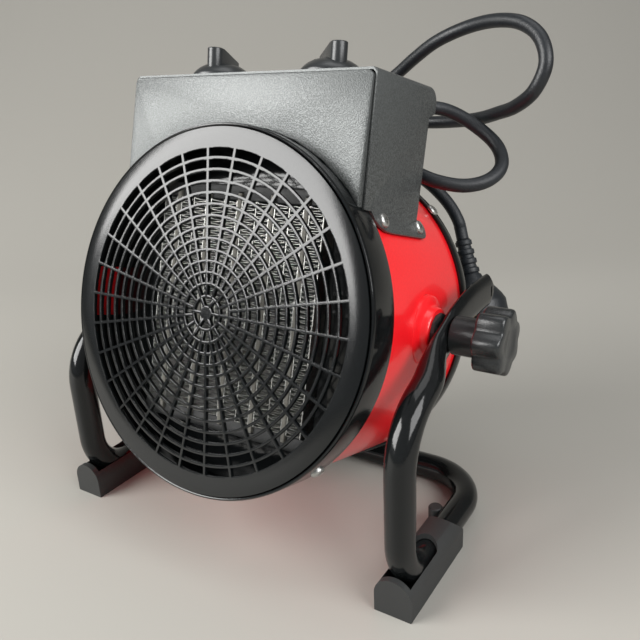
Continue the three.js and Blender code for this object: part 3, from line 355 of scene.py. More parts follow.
class Finish:
    """A material with grain and worn patches on Object coordinates."""

    def __init__(self, name, colour, roughness, grain, depth, contrast, wear, rough_spread,
                 metallic=0.0, coat=0.0, specular=0.5):
        self.material = bpy.data.materials.new(name)
        self.material.use_nodes = True
        self.material.diffuse_color = (*colour[:3], 1.0)
        tree = self.material.node_tree
        self.tree = tree
        self.shader = tree.nodes["Principled BSDF"]
        place = tree.nodes.new("ShaderNodeTexCoord").outputs["Object"]
        grain_node = self.group(effects["surface_grain"], {
            "Scale": grain, "Dark": shade(colour, 1 - contrast),
            "Light": shade(colour, 1 + contrast)})
        patch_node = self.group(effects["worn_patches"], {
            "Scale": PATCH_SCALE, "Worn": shade(colour, wear),
            "Smooth": roughness, "Rough": min(1.0, roughness + rough_spread)})
        for node in (grain_node, patch_node):
            tree.links.new(place, node.inputs["Vector"])
        tree.links.new(grain_node.outputs["Color"], patch_node.inputs["Color"])
        tree.links.new(patch_node.outputs["Color"], self.shader.inputs["Base Color"])
        tree.links.new(patch_node.outputs["Roughness"], self.shader.inputs["Roughness"])
        bump = tree.nodes.new("ShaderNodeBump")
        bump.inputs["Strength"].default_value = depth
        bump.inputs["Distance"].default_value = mm(GRAIN_HEIGHT)
        tree.links.new(grain_node.outputs["Height"], bump.inputs["Height"])
        tree.links.new(bump.outputs["Normal"], self.shader.inputs["Normal"])
        self.shader.inputs["Metallic"].default_value = metallic
        self.shader.inputs["Coat Weight"].default_value = coat
        self.shader.inputs["Coat Roughness"].default_value = COAT_ROUGHNESS
        self.shader.inputs["Specular IOR Level"].default_value = specular

    def group(self, tree, values):
        node = self.tree.nodes.new("ShaderNodeGroup")
        node.node_tree = tree
        for label, value in values.items():
            node.inputs[label].default_value = value
        return node


effects = {}
finishes = {}


# ---- sizes and colours

def length_property(label, words, value):
    return FloatProperty(name=label, description=words, default=value, unit="LENGTH")


class HeaterSizes(bpy.types.PropertyGroup):
    """Lengths and counts a user may want to change."""
    cord_length: length_property("Cord length", "Real length of the mains lead", 1.704)
    cord_diameter: length_property("Cord diameter", "Outside diameter of the lead", 0.008)
    grille_spokes: IntProperty(
        name="Grille spokes", description="Spokes of the front grille", default=30, min=12)
    grille_rows: IntProperty(
        name="Grille rows", description="Full rows of the front grille", default=12, min=3)
    grille_bar: length_property("Grille bar", "Half of a grille bar's width", 0.00072)
    fin_pitch: length_property("Fin pitch", "Distance from fold to fold of the fins", 0.0026)
    bend_radius: length_property("Edge radius", "Rounding of the folded sheets' edges", 0.0005)


def colour_property(label, words, value):
    return FloatVectorProperty(name=label, description=words, default=value, size=3,
                               subtype="COLOR", min=0.0, max=1.0)


class HeaterColours(bpy.types.PropertyGroup):
    """Base colours of the finishes."""
    red: colour_property("Drum red", "Powder coat of the drum", (0.92, 0.010, 0.016))
    gloss_black: colour_property("Gloss black", "Paint of the bands and the tube",
                                 (0.0045, 0.0052, 0.0055))
    satin_black: colour_property("Satin black", "Paint of the grilles", (0.0038, 0.0046, 0.0050))
    charcoal: colour_property("Charcoal", "Textured coat of the control box", (0.085, 0.091, 0.090))
    plastic: colour_property("Plastic", "Moulded feet and dials", (0.020, 0.021, 0.021))
    knob: colour_property("Knob", "Glossy moulded knobs", (0.020, 0.022, 0.023))
    rubber: colour_property("Rubber", "Mains lead and plug", (0.0075, 0.0095, 0.012))
    steel: colour_property("Steel", "Zinc-plated steel", (0.56, 0.56, 0.54))
    brass: colour_property("Brass", "Fan nut", (0.62, 0.44, 0.19))
    aluminium: colour_property("Aluminium", "Fins and plates", (0.42, 0.42, 0.40))
    ceramic: colour_property("Ceramic", "Heating bars", (0.26, 0.25, 0.22))


RECIPES = {     # colour, roughness, grain's scale, depth and contrast, wear, spread of roughness
    "red_paint": ("red", 0.30, 700, 0.08, 0.03, 1.05, 0.06, dict(coat=0.5)),
    "gloss_black_paint": ("gloss_black", 0.10, 600, 0.05, 0.15, 1.5, 0.08, dict(specular=0.38)),
    "satin_black_paint": ("satin_black", 0.15, 1400, 0.05, 0.2, 1.4, 0.05, dict(specular=0.45)),
    "textured_black_paint": ("charcoal", 0.38, 1450, 0.26, 0.75, 1.10, 0.05,
                             dict(metallic=0.45, specular=0.9)),
    "black_plastic": ("plastic", 0.48, 1800, 0.30, 0.25, 1.35, 0.12, {}),
    "gloss_black_plastic": ("knob", 0.24, 1200, 0.10, 0.2, 1.4, 0.12, {}),
    "rubber": ("rubber", 0.42, 900, 0.22, 0.25, 1.8, 0.18, {}),
    "steel": ("steel", 0.30, 900, 0.12, 0.12, 0.8, 0.15, dict(metallic=0.95)),
    "brass": ("brass", 0.30, 900, 0.10, 0.1, 0.8, 0.12, dict(metallic=0.95)),
    "aluminium": ("aluminium", 0.34, 1100, 0.20, 0.2, 0.7, 0.2, dict(metallic=0.9)),
    "ceramic": ("ceramic", 0.70, 1600, 0.25, 0.12, 0.85, 0.1, {}),
}


class HEATER_OT_finishes(bpy.types.Operator):
    """Makes the shared effects and every finish"""
    bl_idname = "heater.finishes"
    bl_label = "Finishes"

    def execute(self, context):
        colours = context.scene.heater_colours
        effects["surface_grain"] = grain_group()
        effects["worn_patches"] = patch_group()
        for name, (colour, roughness, *surface, sheen) in RECIPES.items():
            finish = Finish(name, tuple(getattr(colours, colour)), roughness, *surface, **sheen)
            finishes[name] = finish.material
        return {"FINISHED"}


# ---- the stage

CAMERA_PLACE = (0.24435, -0.323087, 0.26632)
CAMERA_YAW = math.radians(33.36)
CAMERA_PITCH = math.radians(-20.24)
CAMERA_ROLL = math.radians(-2.84)
CAMERA_LENS = 39.59
TARGET = Vector((0, 0, 0.14))
BACKDROP = 1.7                      # from the heater back to the paper's upright part
BACKDROP_BEND = 1.2
BACKDROP_HEIGHT = 4
FLOOR_LENGTH = 8
FLOOR_WIDTH = 6                     # in lengths of the floor
FLOOR_COLOUR = (0.37, 0.357, 0.325, 1)
WORLD_COLOUR = (0.97, 0.985, 1.0, 1)
WORLD_STRENGTH = 0.30


def area_light(name, place, width, height, power, colour=(1, 1, 1)):
    light = bpy.data.lights.new(name, "AREA")
    light.shape = "RECTANGLE"
    light.size, light.size_y = width, height
    light.energy = power
    light.color = colour
    obj = linked(name, light)
    obj.location = place
    obj.rotation_euler = (TARGET - Vector(place)).to_track_quat("-Z", "Y").to_euler()


def plain_world():
    world = bpy.data.worlds.new("studio")
    bpy.context.scene.world = world
    world.use_nodes = True
    background = world.node_tree.nodes["Background"]
    background.inputs["Color"].default_value = WORLD_COLOUR
    background.inputs["Strength"].default_value = WORLD_STRENGTH


class HEATER_OT_stage(bpy.types.Operator):
    """Lays the floor, sets the lights and places the camera"""
    bl_idname = "heater.stage"
    bl_label = "Stage"

    def execute(self, context):
        begin()
        bpy.ops.mesh.primitive_plane_add(size=FLOOR_LENGTH)
        floor = named("studio_floor")
        floor.data.transform(Matrix.Rotation(CAMERA_YAW, 4, "Z")
                             @ Matrix.Translation((0, BACKDROP - FLOOR_LENGTH / 2, 0))
                             @ Matrix.Diagonal((FLOOR_WIDTH, 1, 1, 1)))
        behind = Vector((-math.sin(CAMERA_YAW), math.cos(CAMERA_YAW), 0))
        edit(floor)
        select_where(floor, "EDGE", lambda a, b: a.dot(behind) > 0 and b.dot(behind) > 0)
        bpy.ops.mesh.extrude_region_move(
            TRANSFORM_OT_translate={"value": (0, 0, BACKDROP_HEIGHT)})
        select_where(floor, "EDGE", lambda a, b: (a + b).z < 0.1 and (a + b).dot(behind) > BACKDROP)
        bpy.ops.mesh.bevel(offset=BACKDROP_BEND, segments=32)
        begin()
        floor.select_set(True)
        bpy.ops.object.shade_smooth()
        material = bpy.data.materials.new("pale_floor")
        material.use_nodes = True
        shader = material.node_tree.nodes["Principled BSDF"]
        shader.inputs["Base Color"].default_value = FLOOR_COLOUR
        shader.inputs["Roughness"].default_value = 0.6
        floor.data.materials.append(material)
        plain_world()
        area_light("key", (-0.88, -1.04, 0.84), 1.05, 0.9, 36, (1.0, 0.995, 0.98))
        area_light("fill", (1.25, -0.25, 0.95), 1.1, 0.9, 21)
        area_light("top", (0.1, 0.3, 1.6), 1.0, 0.8, 4)
        data = bpy.data.cameras.new("photo_camera")
        data.lens = CAMERA_LENS
        data.sensor_width = 36
        data.clip_start = 0.01
        camera = linked("photo_camera", data)
        camera.matrix_world = (
            Matrix.Translation(CAMERA_PLACE) @ Matrix.Rotation(CAMERA_YAW, 4, "Z")
            @ Matrix.Rotation(math.pi / 2 + CAMERA_PITCH, 4, "X")
            @ Matrix.Rotation(CAMERA_ROLL, 4, "Z"))
        context.scene.camera = camera
        context.scene.view_settings.view_transform = "Standard"
        return {"FINISHED"}


# ---- the mains lead

COIL_TURNS = 3.5
COIL_IN = 1.5                       # turns of the first layer
COIL_CLIMB = 0.5                    # turns in which the lead climbs to the second layer
COIL_INNER = 31
COIL_PITCH = 8.6
COIL_OUTER = COIL_INNER + COIL_TURNS / 2 * COIL_PITCH
COIL_LAYER = 102.8                  # height of the first layer over the drum's axis
COIL_MIDDLE = 127
COIL_LEAN = math.radians(12)
COIL_STEPS = 48
GLAND_END = 97.8
LEAD_ROUTE = [
    (19.8, 102, 120.3), (12.5, 95.3, 122.5), (1, 92.3, 124), (-12, 95, 124.5), (-22, 104, 126),
    (-26, 118, 129.5), (-23, 133, 135), (-12, 144, 142), (4, 149, 151), (20, 146, 160),
    (36, 139, 168.5), (53, 132, 176), (75, 126, 181.5), (97, 117, 181), (114, 110.5, 176),
    (126, 106, 166), (131, 104.5, 152), (126, 107.5, 139), (114, 116.5, 132.5), (100, 127.5, 131),
    (85, 138, 130), (65, 149, 130.5), (43, 155, 131), (19, 152, 131.5), (1, 141, 132.5),
    (-6, 125, 134), (0, 108, 135), (15, 98, 135), (35, 99, 133), (53, 109, 131.5),
    (70, 121, 131.5), (88, 128, 123), (103, 127, 111), (109, 120, 99), (106, 111, 90),
    (96, 102, 85), (80, 94, 86), (58, 91, 94), (42, 96, 99.5), (32.5, 107, 103),
    (29.5, 121, 104.5), (33, 135, 102), (43, 147, 96), (55, 154, 87.5), (66, 157, 77),
    (73, 158, 67),
]
PLUG_START = Vector((76.5, 160, 56))
PLUG_AIM = Vector((0.33, 0.06, -0.94)).normalized()


def coil_line():
    """The two-layer coil, wound in and out again, with straight ends towards the box."""
    lean = Matrix.Rotation(-COIL_LEAN, 3, "Y")
    points = []
    for i in range(round(COIL_TURNS * COIL_STEPS) + 1):
        turns = i / COIL_STEPS
        winding = min(turns, COIL_TURNS - turns)
        climb = eased(turns, COIL_IN, COIL_IN + COIL_CLIMB)
        radius = COIL_OUTER - winding * COIL_PITCH
        angle = math.pi - turns * math.tau
        points.append(lean @ Vector((radius * math.cos(angle),
                                     COIL_MIDDLE + radius * math.sin(angle),
                                     COIL_LAYER + climb * COIL_PITCH)))
    before = Vector((0, -8, 0))
    return [points[0] + before, *points, points[-1] + before]


def smooth_line(points, samples=8):
    """Points on a centripetal curve through the given ones."""
    padded = [points[0] * 2 - points[1], *points, points[-1] * 2 - points[-2]]
    line = []
    for before, start, end, after in zip(padded, padded[1:], padded[2:], padded[3:]):
        gaps = [max((b - a).length ** 0.5, 1e-4)
                for a, b in ((before, start), (start, end), (end, after))]
        leave = ((start - before) / gaps[0] - (end - before) / (gaps[0] + gaps[1])
                 + (end - start) / gaps[1]) * gaps[1]
        arrive = ((end - start) / gaps[1] - (after - start) / (gaps[1] + gaps[2])
                  + (after - end) / gaps[2]) * gaps[1]
        for i in range(samples):
            t = i / samples
            line.append(start + leave * t + (end * 3 - start * 3 - leave * 2 - arrive) * t ** 2
                        + (start * 2 - end * 2 + leave + arrive) * t ** 3)
    return [*line, points[-1]]


def tube_curve(name, points, radius, rounds=6):
    """A curve of one open spline through the points, with a round section."""
    curve = bpy.data.curves.new(name, "CURVE")
    curve.dimensions = "3D"
    curve.bevel_depth = radius
    curve.bevel_resolution = rounds
    curve.use_fill_caps = True
    spline = curve.splines.new("POLY")
    spline.points.add(len(points) - 1)
    for point, place in zip(spline.points, points):
        point.co = (*place, 1)
    spline.use_smooth = True
    return linked(name, curve)


RIB_HEIGHT, RIB_SLOPE = 1.1, 0.5


def ribbed(radii, first, last, width=1.4):
    """Profile points of rings moulded round a relief, from the first height to the last."""
    points = []
    for i, radius in enumerate(radii):
        middle = first + (last - first) * i / (len(radii) - 1)
        foot_radius, foot_width = radius - RIB_HEIGHT, width + RIB_SLOPE
        points += [(foot_radius, middle - foot_width), (radius, middle - width),
                   (radius, middle + width), (foot_radius, middle + foot_width)]
    return points


def plug_pieces():
    shoulder, end = 43, 58
    body = turned("lead_plug_body", [
        (4.8, 0), *ribbed([5.4, 5.7, 6.0, 6.4], 2.4, 21), (6.9, 24.5), (7.6, 26.5), (9.6, 29),
        (12.2, 32), (15, 35.6), (17.2, 39), (18.6, 42), (19, shoulder), (19, end - 1.5),
        (18.6, end - 0.5), (17.8, end)], 64)
    for middle in (-17.5, 17.5):
        carve(body, slab("notch", (-4, middle - 2.5, shoulder + 2), (4, middle + 2.5, end + 1)))
    round_edges(body, mm(0.4))
    turn = Vector((0, 1, 0)).rotation_difference(PLUG_AIM).to_matrix().to_4x4()
    place = DRUM @ Matrix.Translation(PLUG_START * MM) @ turn @ ALONG_Y
    dress(body, "heater", "rubber", ["lead_plug"], place)
    pin = turned("plug_pin", [
        (2.4, end - 1), (2.4, end + 15.6), (2.0, end + 17.2), (1.1, end + 18)], 24)
    pins = joined("lead_plug_pins", [copy_of(pin, f"plug_pin_{side}", shift(across, 0, 0))
                                     for side, across in (("right", 9.5), ("left", -9.5))])
    bpy.data.objects.remove(pin)
    dress(pins, "heater", "brass", matrix=place)
    return [body, pins]


class HEATER_OT_lead(bpy.types.Operator):
    """Lays the mains lead with its gland, coil, tie and plug"""
    bl_idname = "heater.lead"
    bl_label = "Mains lead"

    def execute(self, context):
        sizes = context.scene.heater_sizes
        coil = coil_line()
        first = coil[-1] + Vector((0, -0.3, 0))
        last = PLUG_START - PLUG_AIM * 0.3
        free = smooth_line([first, first + Vector((0, -8, 0)), *map(Vector, LEAD_ROUTE),
                            last - PLUG_AIM * 8, last])
        start = Vector((coil[0].x, GLAND_END, coil[0].z))
        line = [DRUM @ (point * MM) for point in [start, *coil, *free[1:]]]
        lead = tube_curve("mains_lead", line, sizes.cord_diameter / 2)
        lead.data.materials.append(finishes["rubber"])
        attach(lead, "heater")
        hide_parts("lead_tail", "lead_coil", "lead")
        place = DRUM @ shift(coil[0].x, 0, coil[0].z) @ ALONG_Y
        gland = turned("lead_gland_body", [
            (8.6, 69.6), (8.6, 74.3), (6.8, 74.3), (6.8, 76.1), (7.9, 76.1), (8.4, 76.6), (8.4, 79),
            (8.0, 79.4), *ribbed([7.8, 7.3, 6.8, 6.3], 82.4, 93.6, 1.0),
            (5.2, 97.2), (4.9, GLAND_END)], 48)
        dress(gland, "heater", "rubber", ["lead_gland"], place)
        tie = rounded_copy("lead_tie", "coil_tie", "gloss_black_plastic", 0.3)
        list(plug_pieces())
        return {"FINISHED"}


# ---- the stand

LEG_SPAN = 113.5
LEG_FRONT = -68
LEG_BEND = 35
LEG_SLOPE = math.radians(20)
FOOT_BEND = 28
TUBE_HEIGHT = 10
TUBE_RADIUS = 8
TAB_BEND = 120
TAB_END = 62
TAB_THICK = 7
TAB_WIDTH = 20.5
TAB_MIDDLE = 108.9
FLAT_START, FLAT_DONE = -40, -13
CROSSBAR_BACK = 49
CORNER_BEND = 36
PIVOT_HEIGHT = 126


def arc(centre, radius, start, end, steps):
    """Points of an arc in a plane, from one angle in degrees to another."""
    turns = [math.radians(start + (end - start) * i / steps) for i in range(steps + 1)]
    return [(centre[0] + radius * math.cos(turn), centre[1] + radius * math.sin(turn))
            for turn in turns]


def leg_line():
    """The right leg's middle line from the tab's end to the foot, as (back, height)."""
    slope = math.tan(LEG_SLOPE)
    degrees = math.degrees(LEG_SLOPE)
    bend_side = LEG_FRONT + LEG_BEND
    bend_foot = (PIVOT_HEIGHT + (bend_side - LEG_BEND * math.sin(LEG_SLOPE)) * slope
                 - LEG_BEND * math.cos(LEG_SLOPE))
    tab = arc((TAB_BEND * math.sin(LEG_SLOPE), PIVOT_HEIGHT - TAB_BEND * math.cos(LEG_SLOPE)),
              TAB_BEND, 90, 90 + degrees, 10)
    half = TAB_WIDTH / 2
    nose = [(TAB_END - half + half * math.sin(math.radians(a)), tab[0][1])
            for a in range(86, -1, -8)]
    press = [(FLAT_DONE + (FLAT_START - FLAT_DONE) * i / 12,
              PIVOT_HEIGHT + (FLAT_DONE + (FLAT_START - FLAT_DONE) * i / 12) * slope)
             for i in range(13)]
    bend = arc((bend_side, bend_foot), LEG_BEND, 90 + degrees, 180, 14)
    foot = arc((LEG_FRONT + FOOT_BEND, TUBE_HEIGHT + FOOT_BEND), FOOT_BEND, 180, 270, 14)
    return [*nose, *tab, *press, *bend, *foot]


def flatness(back, height):
    """How far the tube is pressed flat: 1 at the clamp, 0 on the leg."""
    return 0 if height < PIVOT_HEIGHT / 2 else eased(back, FLAT_START, FLAT_DONE)


def nose_width(back, height):
    past = (back - TAB_END + TAB_WIDTH / 2) / (TAB_WIDTH / 2)
    return 1 if height < PIVOT_HEIGHT / 2 or past < 0 else math.sqrt(max(1 - past * past, 0.003))


def stand_tube():
    """The bent tube, with its ends pressed flat for the clamps."""
    rings = []
    for back, height in leg_line():
        flat = flatness(back, height)
        across = LEG_SPAN + (TAB_MIDDLE - LEG_SPAN) * flat
        rings.append((Vector((across, back, height)), flat, nose_width(back, height)))
    steps = 14
    turn = arc((LEG_SPAN - CORNER_BEND, CROSSBAR_BACK - CORNER_BEND), CORNER_BEND, 0, 90, steps)
    for i, (across, back) in enumerate(turn):
        height = TUBE_HEIGHT + (TUBE_RADIUS - TUBE_HEIGHT) * i / steps
        rings.append((Vector((across, back, height)), 0, 1))
    rings += [(Vector((-place.x, place.y, place.z)), flat, width)
              for place, flat, width in reversed(rings)]
    tube = tube_curve("bent_tube", [place * MM for place, _, _ in rings], mm(TUBE_RADIUS), 8)
    pick(tube)
    bpy.ops.object.convert(target="MESH")
    tube = named("bent_tube")
    sides = len(tube.data.vertices) // len(rings)
    for k, (place, flat, width) in enumerate(rings):
        thick = TUBE_RADIUS + (TAB_THICK / 2 - TUBE_RADIUS) * flat
        tall = TUBE_RADIUS + (TAB_WIDTH / 2 - TUBE_RADIUS) * flat
        square = 1 + 0.12 * flat
        for vert in tube.data.vertices[k * sides:(k + 1) * sides]:
            offset = vert.co / MM - place
            if flat:
                across = max(-thick, min(thick, offset.x / TUBE_RADIUS * thick * square))
                rest = Vector((0, offset.y, offset.z)) * (tall * width / TUBE_RADIUS)
                vert.co = (place + rest + Vector((across, 0, 0))) * MM
    outward(tube)
    dress(tube, "stand", "gloss_black_paint", ["stand_tube"], STAND, 50)


def foot():
    """A moulded foot: arched top, sloping back, a pocket for the tube, a post behind."""
    width, front, rear, height = 21, -77.4, -9, 21.6
    half = width / 2
    obj = slab("foot_master", (-half, front, 0), (half, rear, height))
    edit(obj)
    select_where(obj, "EDGE",
                 lambda a, b: min(a.z, b.z) > mm(height - 1) and abs(a.x - b.x) < mm(1))
    bpy.ops.mesh.bevel(offset=mm(half) * 0.995, segments=14)
    select_all()
    bpy.ops.mesh.bisect(plane_co=mm(0, rear - 9, height), plane_no=(0, 0.72, 0.69),
                        use_fill=True, clear_outer=True)
    begin()
    carve(obj, slab("pocket", (-8.3, -73.8, 1.7), (8.3, -42.3, 45)))
    end = turned("pocket_end", [(8.31, 1.7), (8.31, 45)], 48)
    end.data.transform(shift(0, -42.3, 0))
    carve(obj, end)
    bore = turned("bore", [(8.3, -46), (8.3, 20)], 48)
    bore.data.transform(shift(0, 0, TUBE_HEIGHT) @ ALONG_Y)
    carve(obj, bore)
    post = turned("post", [(4.2, 0), (4.2, 14.2), (3.6, 15)], 32)
    post.data.transform(shift(-half, rear + 9, 0))
    web = slab("web", (-half - 1, rear - 6, 0), (-half + 2.6, rear + 9, 9.3))
    whole = joined("foot_master", [obj, post, web])
    round_edges(whole, mm(0.5), 2)
    return whole


class HEATER_OT_stand(bpy.types.Operator):
    """Bends the tube and moulds its two feet"""
    bl_idname = "heater.stand"
    bl_label = "Stand"

    def execute(self, context):
        stand_tube()
        master = foot()
        for side, mirror in SIDES:
            piece = copy_of(master, f"moulded_foot_{side}", mirror @ shift(LEG_SPAN, 0, 0))
            dress(piece, "stand", "black_plastic", [f"foot_{side}"], STAND)
        bpy.data.objects.remove(master)
        return {"FINISHED"}


# ---- the clamps

KNOB_LOBES = 7
KNOB_RADIUS = 18
KNOB_CORE = 8                       # the knob is round up to this radius
LOBE_DEPTH = 0.18                   # share of the radius that is drawn in between lobes
COLLAR_START = 112.7
KNOB_START = 127.6


def star_knob():
    """A star knob: a turned form whose sides are drawn in between seven lobes."""
    knob = turned("knob_master", [
        (16.9, 0), (17.7, 0.5), (18, 1.4), (18, 12.9), (17.8, 13.9), (17.2, 14.6), (16.2, 15),
        (8, 15.0), (7.4, 14.7), (1.0, 14.7)], KNOB_LOBES * 14)
    for vert in knob.data.vertices:
        radius = math.hypot(vert.co.x, vert.co.y) / MM
        wave = 0.5 + 0.5 * math.cos(math.atan2(vert.co.y, vert.co.x) * KNOB_LOBES)
        share = min(max((radius - KNOB_CORE) / (KNOB_RADIUS - KNOB_CORE), 0), 1)
        factor = 1 - LOBE_DEPTH * (1 - wave ** 0.8) * share
        vert.co.x *= factor
        vert.co.y *= factor
    return knob


class HEATER_OT_clamps(bpy.types.Operator):
    """Turns the collars and the star knobs of both clamps"""
    bl_idname = "heater.clamps"
    bl_label = "Clamps"

    def execute(self, context):
        knob = star_knob()
        collar = turned("collar_master", [
            (4.4, 0), (9.8, 0), (10.5, 0.7), (10.5, 13.9), (9.8, 14.6), (4.4, 14.6)], 56, ring=True)
        for side, mirror in SIDES:
            dress(copy_of(knob, f"star_knob_{side}",
                          CLAMP @ mirror @ shift(KNOB_START, 0, 0) @ ALONG_X),
                  f"clamp_knob_{side}", "gloss_black_plastic", [f"clamp_knob_{side}"], angle=40)
            dress(copy_of(collar, f"collar_{side}",
                          CLAMP @ mirror @ shift(COLLAR_START, 0, 0) @ ALONG_X),
                  "stand", "gloss_black_plastic", [f"clamp_collar_{side}"])
        bpy.data.objects.remove(knob)
        bpy.data.objects.remove(collar)
        return {"FINISHED"}


# ---- drum, bands and screws

DRUM_STEPS = 160
DRUM_RADIUS = 97
BAND_RADIUS = 100
REAR_BAND_RADIUS = 98.6
SCREWS = {
    "front_band_screws": [(angle, 16, BAND_RADIUS) for angle in (46, 134, 226, -46)],
    "drum_screws": [(angle, 28, DRUM_RADIUS) for angle in (226, -46)],
    "rear_band_screws": [(angle, 122, REAR_BAND_RADIUS) for angle in (46, 134, 232, -52)],
}
FLANGE_SCREWS = [(side, plane) for side in (1, -1) for plane in (33, 76)]
FLANGE_PLACE = (81.41, 57.97)
FLANGE_TILT = 24
SCREW_REACH = 4.4                   # from a screw's seat to any face of its head
INNER_WALL = 96.2                   # the drum's inner faces lie nearer the axis than this
BOSS_START, BOSS_FOOT, BOSS_REACH = 85, 94.7, 20


def screw_head():
    """A pan head with a cross recess, standing on z = 0."""
    head = turned("screw_master", [
        (3.9, -0.4), (3.9, 0.45), (3.75, 1.0), (3.3, 1.55), (2.5, 1.95), (1.2, 2.12)], 28)
    for across, along in ((1.9, 0.36), (0.36, 1.9)):
        carve(head, slab("recess", (-across, -along, 0.9), (across, along, 3)))
    return head


def seat_on_drum(angle, plane, radius):
    """A screw's seat at an angle round the drum, its recess turned by the same angle."""
    turn = math.radians(angle)
    return (DRUM @ shift(radius * math.cos(turn), plane, radius * math.sin(turn))
            @ Matrix.Rotation(-turn, 4, "Y") @ ALONG_X @ Matrix.Rotation(turn, 4, "Z"))


def seat_on_flange(side, plane):
    """A screw's seat on a flange of the control box, its recess turned by the plane's number."""
    turn = math.radians(FLANGE_TILT if side > 0 else 180 - FLANGE_TILT)
    return (DRUM @ shift(side * FLANGE_PLACE[0], plane, FLANGE_PLACE[1])
            @ Matrix.Rotation(-turn, 4, "Y") @ ALONG_X @ Matrix.Rotation(plane, 4, "Z"))


def blacken_inside(shell):
    """Paints the drum's inner wall black, but not the faces whose middle lies by a boss."""
    shell.data.materials.append(finishes["gloss_black_paint"])
    back = DRUM.inverted()
    for face in shell.data.polygons:
        place = back @ face.center
        across = abs(place.x)
        reach = math.hypot(place.y - PIVOT_BACK, place.z - PIVOT_RISE)
        boss = across > mm(BOSS_START) and reach < mm(BOSS_REACH)
        inside = math.hypot(place.x, place.z) < mm(INNER_WALL)
        if inside and (not boss or across < mm(BOSS_FOOT)):
            face.material_index = 1


class HEATER_OT_drum(bpy.types.Operator):
    """Rolls the drum with its bosses and bands, and sets the screws"""
    bl_idname = "heater.drum"
    bl_label = "Drum"

    def execute(self, context):
        shell = turned("drum_wall", [
            (DRUM_RADIUS, 2.5), (DRUM_RADIUS, 125), (95.8, 125), (95.8, 2.5)],
            DRUM_STEPS, ring=True)
        shell.data.transform(ALONG_Y)
        boss = turned("boss", [
            (19.6, 92), (19.4, 94.6), (19.0, 96.9), (17.6, 97.8), (15.2, 98.1), (13.9, 98.8),
            (13.3, 100.4), (13.1, 101.8), (12.4, 102.6), (4.5, 102.6), (4.5, 92)], 64, ring=True)
        boss.data.transform(Matrix.Translation((0, PIVOT_BACK, PIVOT_RISE)) @ ALONG_X)
        other = copy_of(boss, "boss_left", MIRROR_X)
        shell = joined("red_drum", [shell, boss, other])
        dress(shell, "heater", "red_paint", ["drum_shell"], DRUM)
        blacken_inside(shell)
        front = turned("front_clamp_band", [
            (98.2, 1.4), (98.35, 0.9), (98.9, 0.55), (99.5, 0.7), (99.95, 1.4), (BAND_RADIUS, 2.6),
            (BAND_RADIUS, 21.2), (99.8, 21.9), (99, 22), (97.3, 22), (97.3, 3.4), (98.2, 2.8)],
            DRUM_STEPS, ring=True)
        dress(front, "heater", "gloss_black_paint", ["front_band"], DRUM @ ALONG_Y)
        rear = turned("rear_clamp_band", [
            (97.3, 119), (98.4, 119), (REAR_BAND_RADIUS, 119.3), (REAR_BAND_RADIUS, 127.2),
            (98.2, 128.4), (97.2, 129), (90.2, 129), (90, 128.7), (90, 127.9), (90.2, 127.7),
            (97.3, 127.7)], DRUM_STEPS, ring=True)
        dress(rear, "heater", "gloss_black_paint", ["rear_band"], DRUM @ ALONG_Y)
        head = screw_head()
        groups = {name: [seat_on_drum(*seat) for seat in seats] for name, seats in SCREWS.items()}
        groups["box_screws"] = [seat_on_flange(*seat) for seat in FLANGE_SCREWS]
        for name, seats in groups.items():
            heads = [copy_of(head, f"{name}_{i}", seat) for i, seat in enumerate(seats)]
            dress(joined(name, heads), "heater", "steel", angle=30)
        bpy.data.objects.remove(head)
        return {"FINISHED"}


# ---- grilles

CELL_SIDES = 4                      # short sides of each cell's arcs, so that they stay round
FRONT_FLANGE = [97.7, 89]
FRONT_FIRST_ROW = 87.7
FRONT_ROW = 6
FRONT_HUB_ROWS = [(9, 15), (3.2, 6)]                    # radius and count of cells
REAR_FLANGE = [96.7, 86]
REAR_ROWS = [84, 74, 64, 54, 44, 34, 24]
REAR_HUB_ROWS = [(8, 12)]
REAR_SPOKES = 24
REAR_PLACE = 126


def pierced_disc(name, spokes, flange, rings, inner_rings, bar, thick):
    """A disc of bars: circles scaled inwards, the cells inset and opened, then thickened."""
    sides = spokes * CELL_SIDES
    radii = [mm(radius) for radius in [*flange, *rings, *[ring for ring, _ in inner_rings]]]
    begin()
    bpy.ops.mesh.primitive_circle_add(vertices=sides, radius=radii[0])
    disc = named(name)
    disc.data.transform(Matrix.Rotation(math.radians(-90), 4, "Z"))
    edit(disc)
    select_all()
    for outer, inner in zip(radii, radii[1:]):
        bpy.ops.mesh.extrude_region_move(TRANSFORM_OT_translate={"value": (0, 0, 0)})
        bpy.ops.transform.resize(value=(inner / outer, inner / outer, 1), center_override=(0, 0, 0))
    bpy.ops.mesh.edge_face_add()
    bands = [(rings[0], rings[-1], spokes)]
    for ring, count in inner_rings:
        bands.append((bands[-1][1], ring, count))
    for outer, inner, count in bands:

        def spare(a, b):
            middle = (a.length + b.length) / 2
            turn = round(math.atan2(a.y, a.x) / math.tau * sides)
            return (abs(a.length - b.length) > 1e-4 and mm(inner) < middle < mm(outer)
                    and turn % (sides // count) != 0)

        select_where(disc, "EDGE", spare)
        bpy.ops.mesh.dissolve_edges(use_verts=False)
    select_where(disc, "FACE", lambda middle: mm(bands[-1][1]) < middle.length < mm(rings[0]))
    bpy.ops.mesh.inset(thickness=bar, use_individual=True)
    bpy.ops.mesh.delete(type="FACE")
    outward(disc)
    modify(disc, "SOLIDIFY", thickness=mm(thick), offset=0)
    round_edges(disc, mm(0.32), 2, 50)
    disc.data.transform(shift(0, 0, thick / 2))
    return disc


